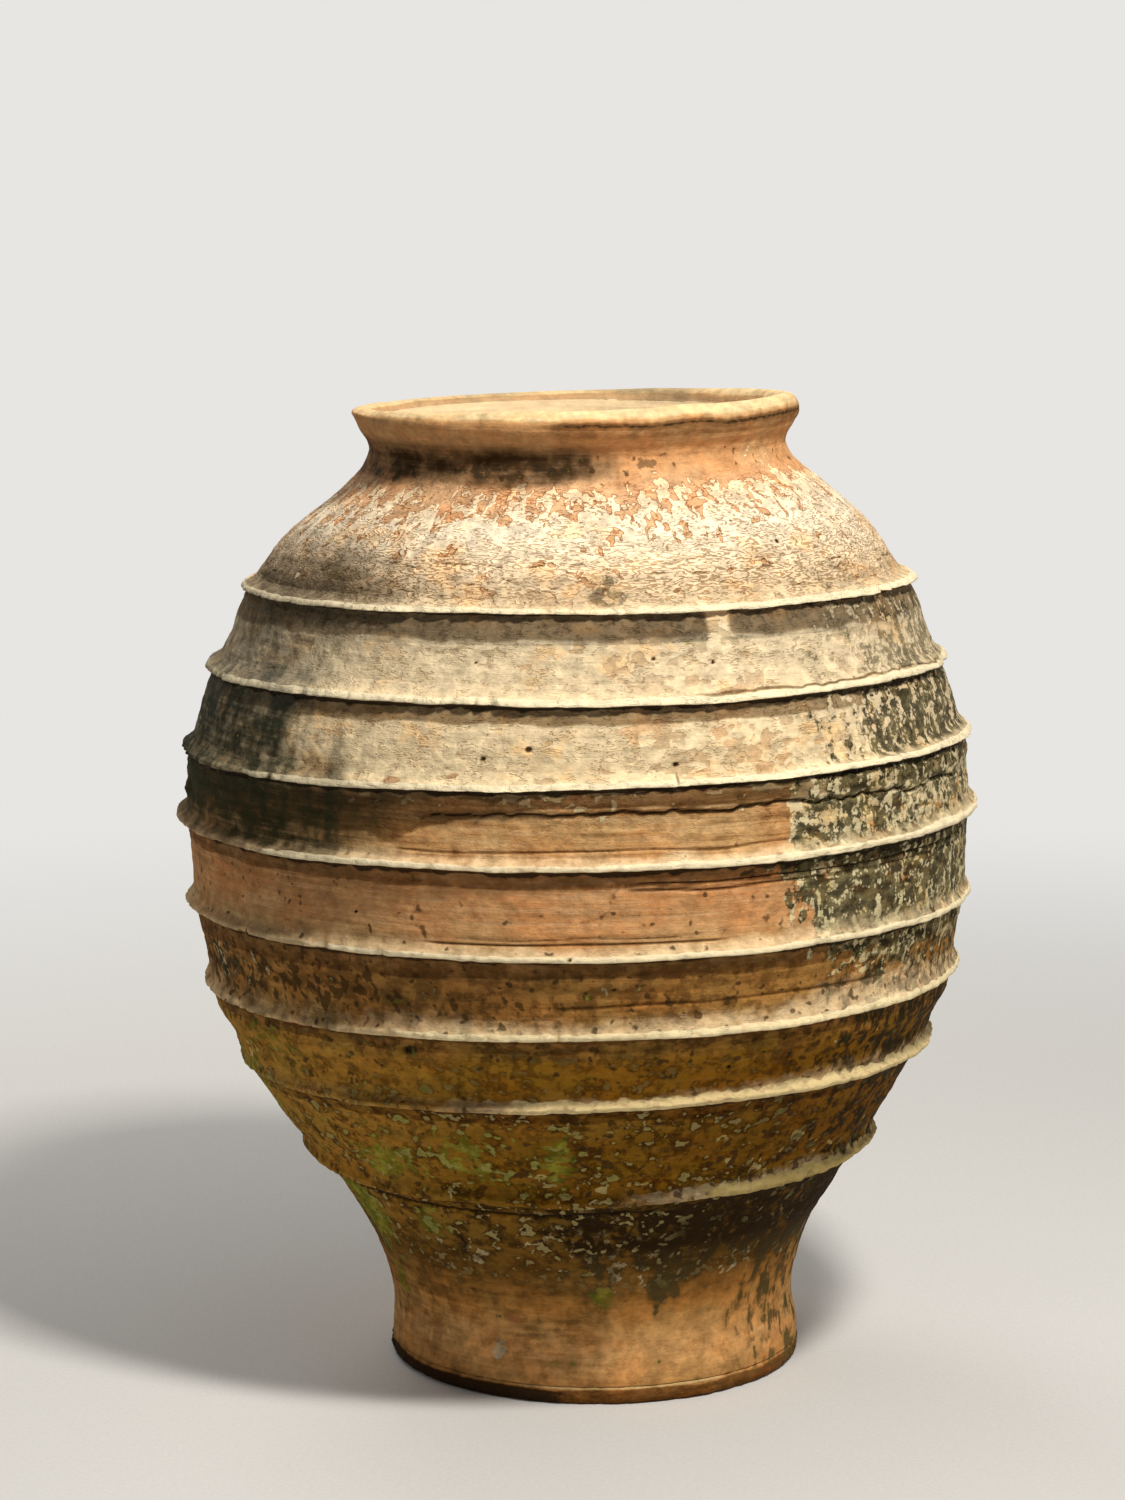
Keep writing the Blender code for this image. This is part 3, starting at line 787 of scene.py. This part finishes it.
# The bloom's palest stop, at 0.845, is partly a painted sheen.
BLOOM_BY_LEVEL = (
    (0, (0.64, 0.57, 0.43)), (0.28, (0.42, 0.32, 0.1)), (0.42, (0.7, 0.57, 0.3)), (0.5, (0.78, 0.68, 0.4)),
    (0.6, (0.78, 0.66, 0.4)), (0.64, (0.84, 0.67, 0.41)), (0.76, (0.8, 0.65, 0.42)),
    (0.79, (0.76, 0.58, 0.36)), (0.81, (0.94, 0.75, 0.5)), (0.845, (1, 0.88, 0.66)),
    (0.88, (0.98, 0.76, 0.47)),
)
# The dark film, partly painted shade at the left, on the shoulder's right and under the top band.
FILM_AND_SHADE_BY_LEVEL = (
    (0.16, (0.062, 0.031, 0.006)), (0.3, (0.055, 0.034, 0.006)), (0.52, (0.085, 0.055, 0.026)),
    (0.58, (0.034, 0.031, 0.013)), (0.67, (0.043, 0.043, 0.026)), (0.72, (0.105, 0.1, 0.076)),
    (0.8, (0.115, 0.078, 0.04)), (0.9, (0.05, 0.026, 0.01)),
)
GROWTH_BY_LEVEL = (
    (0.05, (0.13, 0.095, 0.03)), (0.12, (0.09, 0.062, 0.02)), (0.165, (0.022, 0.011, 0.003)),
    (0.23, (0.024, 0.012, 0.003)), (0.4, (0.026, 0.02, 0.007)), (0.88, (0.03, 0.028, 0.014)),
    (0.92, (0.028, 0.014, 0.006)),
)
CREAM_BY_LEVEL = (
    (0.22, (0.56, 0.42, 0.14)), (0.31, (0.74, 0.58, 0.28)), (0.38, (0.92, 0.78, 0.46)),
    (0.5, (0.95, 0.82, 0.55)),
)
LICHEN = (0.46, 0.37, 0.15)
COVE = (0.9, 0.7, 0.42)
OLIVE = (0.145, 0.12, 0.048)
SPOT = (0.05, 0.026, 0.009)
# The dark crease under a nose and in grooves and pits: dirt and painted shade.
CREASE = (0.018, 0.011, 0.006)
MOSS_GREEN = (0.125, 0.155, 0.008)
MOSS_GOLD = (0.3, 0.29, 0.035)
FRESH_CLAY = (0.36, 0.14, 0.055)
GOLDEN_CLAY = (0.44, 0.25, 0.048)
INNER_CLAY = (0.5, 0.29, 0.14)
MOUTH_CLAY = (0.9, 0.68, 0.4)
# Glazes that darken or warm the clay or the bloom where they lie.
DEEP = (0.62, 0.5, 0.34)
WARM = (1.08, 0.84, 0.68)
MOTTLED = (0.46, 0.42, 0.36)
PITTED = (0.4, 0.34, 0.26)
RINGED = (0.56, 0.44, 0.34)
BLOTTED = (0.66, 0.52, 0.4)
WARM_BLOOM = (1, 0.82, 0.62)
GREY_BLOOM = (0.7, 0.66, 0.58)
# Painted shade on the rims of the lime's flakes and along the scaled layers.
FLAKE_RIM = (0.5, 0.32, 0.21)
LAYERED = (0.44, 0.31, 0.2)
# Dirt and painted shadow under the bands.
DIRT_AND_SHADE = (0.32, 0.255, 0.185)


def weathered_clay(name):
    """Fired clay after years outdoors."""
    f = Finish(bpy.data.materials.new(name))
    level, edge, under, fresh, inside, dark, spots, film_and_shade, cover, moss, scaly = map(f.mark, MARKS)
    cloud = f.noise(0.055, 0.04, 3, 1)
    soft = f.noise(0.015, 0.0105, 3, 5)
    fine = f.noise(0.0042, 0.0034, 3, 9)
    rings = f.noise(0.09, 0.0046, 3, 13)
    streaks = f.noise(0.01, 0.042, 4, 17, 0.6)
    blots = f.noise(0.02, 0.017, 4, 23, 0.58)
    flakes = f.noise(0.009, 0.0064, 4, 29, 0.6)
    dots = f.noise(0.0105, 0.01, 1, 47)
    strokes = f.noise(0.032, 0.008, 3, 53)
    specks = f.noise(0.01, 0.0088, 1.5, 59)
    about_zero = (noise - 0.5 for noise in (soft, fine, rings, streaks, blots, flakes))
    puff, dust, ring, streak, blot, flake = about_zero

    def above(low, high):
        return f.cut(level, low, high)

    def below(low, high):
        return 1 - f.cut(level, low, high)

    # The bare clay: golden low at the left, deeper at the right, mottled low down and ringed at the belly.
    clay = f.ramp(level + 0.03 * (cloud - 0.5) + 0.012 * blot, CLAY_BY_LEVEL)
    across = f.node("SeparateXYZ", {}, {0: f.node("TexCoord", output="Object")})
    golden = above(0.13, 0.19) * below(0.36, 0.4) * (1 - f.cut(across, -0.26, -0.04))
    clay = f.blend(golden * 0.5, clay, GOLDEN_CLAY)
    deep = f.cut(across, 0.02, 0.22) * above(0.22, 0.26) * below(0.34, 0.4)
    clay = f.tint(deep * 0.55, clay, DEEP)
    clay = f.tint(f.cut(cloud, 0.42, 0.6) * 0.5, clay, WARM)
    low = below(0.42, 0.5)
    high = above(0.76, 0.8) * below(0.885, 0.9)
    grit = flakes + low * 0.8 * (specks - flakes) - 0.5
    patchy = f.cut(blots + 0.7 * grit + 0.4 * streak, 0.44, 0.58)
    clay = f.tint(patchy * low * (0.3 + 0.48 * above(0.11, 0.17)), clay, MOTTLED)
    pitted = f.cut(soft + 0.7 * blot + 0.3 * grit, 0.49, 0.6) * below(0.29, 0.36)
    clay = f.tint(pitted * above(0.11, 0.17) * 0.66, clay, PITTED)
    ringed = 0.1 + 0.9 * above(0.46, 0.5) * below(0.61, 0.66)
    clay = f.tint(f.cut(rings, 0.52, 0.64) * ringed * (0.14 + 0.42 * above(0.53, 0.56)), clay, RINGED)
    clay = f.blend((1 - f.cut(rings, 0.36, 0.48)) * ringed * 0.14, clay, COVE)
    clay = f.tint(f.cut(blots + 0.3 * (dots - 0.5), 0.54, 0.66) * ringed * 0.3, clay, BLOTTED)

    # The pale lime bloom, and as painted shade the dark rims of its flakes and strokes where the clay scales
    # in layers.
    laid = cover + 0.9 * grit + 0.4 * dust
    bloom = f.cut(laid, 0.34, 0.56)
    rim = f.cut(laid, 0.08, 0.3) * (1 - bloom) * high
    pale = f.ramp(level, BLOOM_BY_LEVEL)
    pale = f.tint(f.cut(cloud + 0.4 * puff, 0.52, 0.66) * 0.7, pale, WARM_BLOOM)
    pale = f.tint(f.cut(blots + 0.4 * flake, 0.54, 0.66) * (0.5 - 0.3 * high), pale, GREY_BLOOM)
    clay = f.blend(bloom * 0.85, clay, pale)
    clay = f.tint(rim * 0.9, clay, FLAKE_RIM)
    layers = f.math("PINGPONG", strokes * 9 + 0.6 * flake + 0.5, 0.5)
    low_high = high * below(0.8, 0.86)
    layered = (1 - f.cut(layers, 0.07, 0.25)) * f.cut(fine + 0.5 * puff + 0.08 * low_high, 0.42, 0.54)
    stroke = layered * f.cut(blots + 0.06 * high + 0.1 * low_high, 0.47, 0.56)
    clay = f.tint(stroke * scaly * (0.62 + 0.25 * high), clay, LAYERED)

    # The worn edges of the bands, pale partly as a painted highlight, and light and dark grain over all of
    # it.
    cove = f.cut(edge + 0.5 * puff + 0.3 * flake, 0.1, 0.8)
    nose = f.cut(edge + 0.25 * flake, 0.74, 0.84)
    clay = f.blend(cove * (0.4 + 0.24 * above(0.32, 0.37)), clay, COVE)
    clay = f.blend(nose * (0.88 - 0.5 * low * f.cut(flakes, 0.5, 0.6)), clay, f.ramp(level, CREAM_BY_LEVEL))
    clay = f.lit(clay, 1 + (1 - 0.7 * nose) * ((1 + 0.5 * high) * puff + 0.6 * flake + 0.5 * dust))

    # Dirt and painted shadow, the dark film partly painted shade, spots, dark growth with pale flecks in it,
    # lichen and moss.
    dirt_and_shade = f.cut(under + 0.5 * blot + 0.5 * flake, 0.16, 0.66)
    clay = f.tint(dirt_and_shade * 0.9, clay, DIRT_AND_SHADE)
    uneven = blot + 0.6 * flake + 0.25 * streak + 0.7 * ring
    filmed_and_shaded = f.cut(film_and_shade + uneven * film_and_shade * (1 + 0.6 * low), 0.02, 1) * (1 - 0.5 * nose)
    clay = f.blend(filmed_and_shaded, clay, f.ramp(level, FILM_AND_SHADE_BY_LEVEL))
    spotted = f.cut(dots + 0.5 * spots + 0.22 * flake, 0.71, 0.81) * (1 - 0.8 * nose)
    clay = f.blend(spotted * f.cut(spots, 0.02, 0.1) * 0.8, clay, SPOT)
    upper = above(0.68, 0.72)
    fed = dark + (1 + 0.8 * low - 0.5 * upper) * streak + 1.4 * blot + 0.7 * grit
    growing = f.cut(fed, 0.46 - 0.08 * low, 0.6 + 0.12 * low) * (1 - 0.9 * nose) * (1 - 0.5 * cove)
    olive = f.cut(soft, 0.44, 0.6) * above(0.37, 0.47) * below(0.85, 0.87)
    growth = f.blend(olive * 0.85, f.ramp(level, GROWTH_BY_LEVEL), OLIVE)
    clay = f.blend(growing * (0.92 - 0.3 * upper), clay, growth)
    flecks = f.cut(0.5 * flakes + 0.5 * streaks + 0.25 * (specks - 0.5) + 0.05 * cover, 0.56, 0.61)
    clay = f.blend(flecks * growing * below(0.85, 0.88) * above(0.37, 0.45) * 0.8, clay, pale)
    lichen = f.cut(specks + 0.8 * blot + 0.2 * flake, 0.625, 0.685) * (1 - 0.8 * above(0.29, 0.36))
    lichen = lichen * below(0.36, 0.42) * above(0.1, 0.17) * (1 - 0.92 * f.cut(dark, 0.68, 0.84))
    clay = f.blend(lichen * (1 - 0.8 * f.cut(across, 0.08, 0.24)) * 0.62, clay, LICHEN)
    mossy = f.cut(moss + 2.1 * grit + 1.1 * blot, 0.4, 0.64) * (1 - 0.4 * patchy)
    green = f.blend(f.cut(soft, 0.42, 0.58), MOSS_GREEN, MOSS_GOLD)
    clay = f.blend(mossy * 0.8, clay, green)

    # Fresh breaks, the dark creases of dirt and painted shade, and the plain inner side.
    clay = f.blend(f.cut(fresh + 1.2 * flake + 0.8 * blot, 0.42, 0.66) * 0.65, clay, FRESH_CLAY)
    clay = f.blend(f.cut(under + 0.3 * flake + 0.2 * dust, 0.7, 0.86) * 0.88, clay, CREASE)
    plain = f.blend(above(0.86, 0.92), INNER_CLAY, MOUTH_CLAY)
    clay = f.blend(inside, clay, f.lit(plain, 0.95 + 0.5 * puff + 0.6 * ring))

    heights = (0.45 + 0.55 * scaly) * (1.5 * soft + 1.1 * flakes + 0.45 * fine)
    heights = heights + 0.8 * rings + 0.35 * bloom - 0.9 * stroke * scaly
    bump = f.node("Bump", {}, {"Strength": 0.75, "Distance": 0.0018, "Height": heights})
    rough = 0.9 - 0.1 * growing + 0.06 * puff
    matt = {"Base Color": clay, "Roughness": rough, "Normal": bump, "Specular IOR Level": 0.04}
    f.node("OutputMaterial", {}, {"Surface": f.node("BsdfPrincipled", {}, matt)})
    return f.owner


SLOTS = ("foot_clay", "mossed_clay", "bare_clay", "greyed_clay", "limed_clay", "band_clay")
COURSE_SLOTS = ("mossed_clay",) * 2 + ("bare_clay",) * 3 + ("greyed_clay",) * 2
FINISHES = {slot: weathered_clay(slot) for slot in SLOTS}


def make_wall(name, slot, bottom, top, low, high, step=COURSE_STEP, columns=COLUMNS, inner_step=INNER_STEP):
    """A ring of wall from bottom to top, stepped back where a band lies below low or above high."""
    clay = Clay(name + "_clay", slot, columns)
    if low > bottom:
        clay.lay_seat(spaced(bottom, low, INNER_STEP))
    clay.lay_wall(spaced(low, high, step))
    if high < top:
        clay.lay_seat(spaced(high, top, INNER_STEP))
    on_floor = name == "foot_wall"
    clay.lay_inside(spaced(top, bottom + INNER_RISE * on_floor, inner_step))
    if on_floor:
        level = np.array([[bottom]])
        clay.lay(outline(bottom) - WALL + sway(bottom) * sine(clay.turn), level, level, inside=1)
    clay.fire(name)


def make_walls():
    """The foot, the courses, the shoulder and the neck."""
    half_gap = JOINT_GAP / 2
    bottoms = [height + half_gap for height in BAND_HEIGHTS]
    tops = [height - half_gap for height in BAND_HEIGHTS]
    lows = [height + HAIR_JOINT for height in BAND_TOPS]
    highs = [height - HAIR_JOINT for height in BAND_BOTTOMS]
    bottom = FLOOR_THICKNESS + HAIR_JOINT
    make_wall("foot_wall", "foot_clay", bottom, tops[0], bottom, highs[0], FOOT_STEP, NARROW_COLUMNS)
    for index, slot in enumerate(COURSE_SLOTS):
        above = index + 1
        make_wall(f"wall_course_{above}", slot, bottoms[index], tops[above], lows[index], highs[above])
    top = SHOULDER_TOP - HAIR_JOINT
    make_wall("shoulder", "limed_clay", bottoms[-1], top, lows[-1], top, SHOULDER_STEP)
    bottom, top = SHOULDER_TOP + HAIR_JOINT, NECK_TOP - HAIR_JOINT
    make_wall("neck", "limed_clay", bottom, top, bottom, top, LIP_STEP, NARROW_COLUMNS, NECK_INNER_STEP)


def make_lip():
    """The rolled lip: thick and round at the front right, drawn out thin at the back left."""
    bottom = NECK_TOP + HAIR_JOINT
    clay = Clay("rolled_lip_clay", "limed_clay", NARROW_COLUMNS)
    turn = clay.turn
    edge_radius = outline(LIP_EDGE_HEIGHT)
    throat_radius, throat_height = (float(value) for value in inner_place(bottom))
    width = edge_radius - throat_radius
    levels = (bottom, *(NECK_HEIGHT + LIP_RISE * up for up in (0.5, 0.6, 0.7)))
    section = [(outline(level), level) for level in levels]
    section += [(edge_radius - width * inward, NECK_HEIGHT + LIP_RISE * up) for up, inward in LIP_ROLL_SHARES]
    section.append((throat_radius, throat_height))
    rows = rounded(section, LIP_STEP, 0.004)
    radius, level = rows[:, :1], rows[:, 1:]
    inside = ease(0.8, 1, (edge_radius - radius) / width)
    thin = 0.5 - 0.5 * np.cos(turn * TAU - math.radians(LIP_THICK_ANGLE))
    outward = np.clip((radius - edge_radius + 0.6 * width) / (0.6 * width), 0, 1)
    lower = np.clip((CREST_HEIGHT - 0.004 - level) / 0.012, 0, 1)
    flat = ease(bottom, bottom + 0.006, level)
    height = level + thin * outward * lower * flat * LIP_THINNING
    uneven = 0.9 * MM * dents(turn, level) + 0.15 * MM * lumps(turn, level) + 0.2 * MM * jags(turn, level)
    start = wall_face(turn, np.array([[bottom]])) - outline(bottom)
    radius = radius + start * (1 - flat) + flat * (uneven + LOBE_SIZE * lobes(turn, level))
    height = height + flat * (0.7 * MM * dents(turn + 0.3, level) + MM * lobes(turn + 0.4, level))
    # The crest is pale down to a rough edge, and what lies below it has the level of the neck's clay.
    crest = LIP_EDGE_HEIGHT + MM * (7 + dents(turn, level) + 0.4 * jags(turn, level))
    shade = 0.925 + 0.024 * ease(-0.003, 0.002, level - crest)
    # Under the crest at the front right: a dark ragged edge, partly chips and partly painted shadow under the
    # lip.
    below = within(crest - level, 0, 0.004, 0.012, 0.024)
    ragged = 0.42 * below + 0.42 * line(level, crest - 0.004, 0.0045)
    ragged = arc(turn, 0, 85, 15) * (1 - inside) * ragged
    clay.lay(radius, height, shade, under=ragged, inside=inside * 0.35)
    clay.lay_inside(np.array([bottom]))
    clay.fire("rolled_lip")


def make_slab():
    """The floor slab, its rough edge standing out a little under the foot wall."""
    clay = Clay("floor_slab_clay", "foot_clay", NARROW_COLUMNS)
    turn = clay.turn
    top = FLOOR_THICKNESS
    radius = float(outline(top)) + FLOOR_LEDGE
    rim = [
        (radius - 0.005, 0), (radius - 0.001, 0.0022), (radius + 0.0004, 0.006), (radius, 0.012),
        (radius - 0.001, top - 0.0016), (radius - 0.004, top),
    ]
    under = [(0.02, 0), (0.08, 0), (0.15, 0)]
    over = [(0.17, top), (0.12, top), (0.06, top), (0.02, top)]
    rows = np.concatenate([under, rounded(rim, 0.0011, 0.002), over])
    ring, height = rows[:, :1], rows[:, 1:]
    outer = ease(radius - 0.012, radius - 0.001, ring)
    rough = 0.7 * pocks(turn, height * 3) + 0.9 * lumps(turn, height * 2) + 0.9 * dents(turn, height)
    moved = sway(height) * sine(turn) + wall_offset(height) + LOBE_SIZE * lobes(turn, height)
    # Dirt and painted shadow on the rim below the ledge, darker at the left, and a painted highlight along
    # the ledge at the front.
    dirty_and_shaded = outer * (1 - ease(top - 0.005, top - 0.001, height + 0.002 * dents(turn, height)))
    dirty_and_shaded = dirty_and_shaded * (0.68 + 0.32 * arc(turn, -100, -14, 12))
    ledge = 0.95 * arc(turn, -14, 34, 8) * line(height, top - 0.001, 0.003)
    ledge = ledge * ease(radius - 0.006, radius - 0.002, ring)
    around = ring + ring / radius * moved + outer * MM * rough
    clay.lay(around, height, height, edge=ledge, under=0.92 * dirty_and_shaded * (1 - ledge))
    clay.fire("floor_slab", closed=False)


def band_section(index):
    """Heights of a band's face from its lower end up, how far each stands out, and the most it does."""
    top, bottom = BAND_TOPS[index] - HAIR_JOINT, BAND_BOTTOMS[index] + HAIR_JOINT
    reach = BAND_OUT * BAND_OUT_SHARES[index]
    low, high = nose_of(index)
    corners = [(bottom, 0)]
    corners += [(low - (low - bottom) * down, reach * out) for down, out in UNDERSIDE_SHARES[-2::-1]]
    corners += [(low + (high - low) * up, reach * out) for up, out in ((0, 0.97), (0.3, 1), (0.8, 0.98))]
    corners += [(high + (top - high) * up, reach * out) for up, out in COVE_SHARES[::-1]]
    return rounded(corners, BAND_STEP, 0.0015), reach


def make_band(index):
    """A band pressed over a joint, with its worn nose, its chips and its hollow cove."""
    name = f"joint_band_{index + 1}"
    clay = Clay(name + "_clay", "band_clay")
    turn = clay.turn
    rows, reach = band_section(index)
    level, out = rows[:, :1], rows[:, 1:]
    top, bottom = BAND_TOPS[index] - HAIR_JOINT, BAND_BOTTOMS[index] + HAIR_JOINT
    share = out / reach
    proud = ease(0.35, 0.95, share)
    wobble = 1.5 * ripple(turn, 100 + index, 16) + 0.8 * ripple(turn, 120 + index, 64)
    wobble = wobble + 0.35 * ripple(turn, 140 + index, 210)
    bolder = 0.16 * ripple(turn, 160 + index, 9) + 0.1 * ripple(turn, 180 + index, 60)
    nibbled = 0.26 * np.maximum(ripple(turn, 200 + index, 330) - 0.15, 0)
    chips, roughly = chipped(turn, 300 + index)
    place = np.clip(level + MM * wobble * share, bottom, top)
    lost = np.clip(nibbled * proud + chips * proud, 0, 0.85)
    own = 0.35 * pocks(turn + 0.37, level * 1.7) + 0.35 * lumps(turn + 0.21, level * 1.3)
    flat_end = 1 - LEFT_ENDS[index] * ease(0.55, 0.9, -sine(turn))
    face = wall_face(turn, place) + out * (1 + bolder) * (1 - lost) * flat_end
    face = face + MM * own * share * (1 + 2 * roughly) + MM * 0.5 * dents(turn + 0.11, level) * share
    edge, under = near_bands(turn, place - MM * wobble * share)
    fresh = np.maximum(placed_fresh(turn, place), 0.6 * ease(0.42, 0.6, chips) * proud)
    clay.lay(face, place, place, edge * (1 - 0.6 * ease(0.2, 0.5, chips)), under, fresh)
    back = spaced(top, bottom, INNER_STEP)[:, None]
    clay.lay(wall_core(turn, back) - SEAT_DEPTH, back, back)
    clay.fire(name)


def chipped(turn, seed):
    """How deep the nose is chipped round a band, and where the break is rough."""
    chance = np.random.default_rng(seed)
    ragged = 1 + 0.5 * ripple(turn, seed + 7, 400)
    depth = np.zeros_like(turn)
    for _ in range(CHIPS):
        at, half, deep = chance.uniform(), chance.uniform(0.0016, 0.0052), chance.uniform(0.06, 0.26) ** 0.8
        away = np.abs((turn - at + 0.5) % 1 - 0.5) / half
        depth = np.maximum(depth, deep * (1 - np.clip(away * ragged, 0, 1) ** 1.6))
    return depth, ease(0.1, 0.3, depth)


make_slab()
make_walls()
make_lip()
for band in range(len(BAND_HEIGHTS)):
    make_band(band)

# The stage: a pale floor that fades into the pale background, soft lamps and the camera.
PALE = (0.8, 0.79, 0.77)
FLOOR_LIGHT = (0.8, 0.79, 0.765)
FLOOR_DARK = (0.66, 0.65, 0.625)
ROOM = (1, 0.98, 0.95)
ROOM_STRENGTH = 0.24
FLOOR_RADIUS = 3.3
FLOOR_SIDES = 96
LAMP_AIM = 0.5
CAMERA_PLACE = (-0.0184, -4.189, 1.275)
CAMERA_PITCH = 80.906
CAMERA_LENS = 103.4
CAMERA_SENSOR = 36


def make_stage():
    f = Finish(bpy.data.materials.new("pale_floor"))
    place = f.node("TexCoord", output="Object")
    away = f.cut(f.node("VectorMath", {"operation": "LENGTH"}, {0: place}, output="Value"), 1, 3.2)
    colour = f.blend(f.noise(0.004, 0.004, 3, 3), FLOOR_DARK, FLOOR_LIGHT)
    ground = f.node("BsdfDiffuse", {}, {"Color": colour})
    mixed = f.node("MixShader", {}, {0: away, 1: ground, 2: f.node("BsdfTransparent")})
    f.node("OutputMaterial", {}, {"Surface": mixed})
    mesh = bpy.data.meshes.new("floor")
    around = [TAU * side / FLOOR_SIDES for side in range(FLOOR_SIDES)]
    points = [(FLOOR_RADIUS * math.cos(angle), FLOOR_RADIUS * math.sin(angle), 0) for angle in around]
    mesh.from_pydata(points, [], [tuple(range(FLOOR_SIDES))])
    floor = placed("floor", mesh)
    mesh.materials.append(f.owner)


def make_world():
    """A soft room's light, with the plain pale background where it is seen, mirrored or seen through."""
    world = bpy.data.worlds.new("soft_room")
    bpy.context.scene.world = world
    f = Finish(world)
    rays = f.node("LightPath").socket.node.outputs
    kinds = ("Camera", "Glossy", "Transmission")
    camera, glossy, through = (Field(f, rays[f"Is {kind} Ray"]) for kind in kinds)
    seen = f.math("MAXIMUM", f.math("MAXIMUM", camera, glossy), through)
    room = f.node("Background", {}, {"Color": (*ROOM, 1), "Strength": ROOM_STRENGTH})
    backdrop = f.node("Background", {}, {"Color": (*PALE, 1), "Strength": 1})
    f.node("OutputWorld", {}, {"Surface": f.node("MixShader", {}, {0: seen, 1: room, 2: backdrop})})


def make_lamp(name, azimuth, elevation, distance, size, power, colour):
    """A square soft lamp aimed at the belly, by its angle right of the camera and above the ground."""
    light = bpy.data.lights.new(name, "AREA")
    light.size = size
    light.energy = power
    light.color = colour
    lamp = placed(name, light)
    azimuth, elevation = math.radians(azimuth), math.radians(elevation)
    lamp.location = (
        distance * math.sin(azimuth) * math.cos(elevation),
        -distance * math.cos(azimuth) * math.cos(elevation),
        LAMP_AIM + distance * math.sin(elevation),
    )
    lamp.rotation_euler = (math.pi / 2 - elevation, 0, azimuth)


def make_camera():
    camera = bpy.data.cameras.new("camera")
    camera.lens = CAMERA_LENS
    camera.sensor_width = CAMERA_SENSOR
    seat = placed("camera", camera)
    seat.location = CAMERA_PLACE
    seat.rotation_euler = (math.radians(CAMERA_PITCH), 0, 0)
    bpy.context.scene.camera = seat


make_stage()
make_world()
make_lamp("key_lamp", azimuth=31, elevation=54, distance=3.2, size=0.42, power=96, colour=(1, 0.96, 0.9))
make_lamp("back_lamp", azimuth=205, elevation=35, distance=3.4, size=1.6, power=40, colour=(1, 0.98, 0.95))
make_camera()
bpy.context.scene.view_settings.view_transform = "Standard"
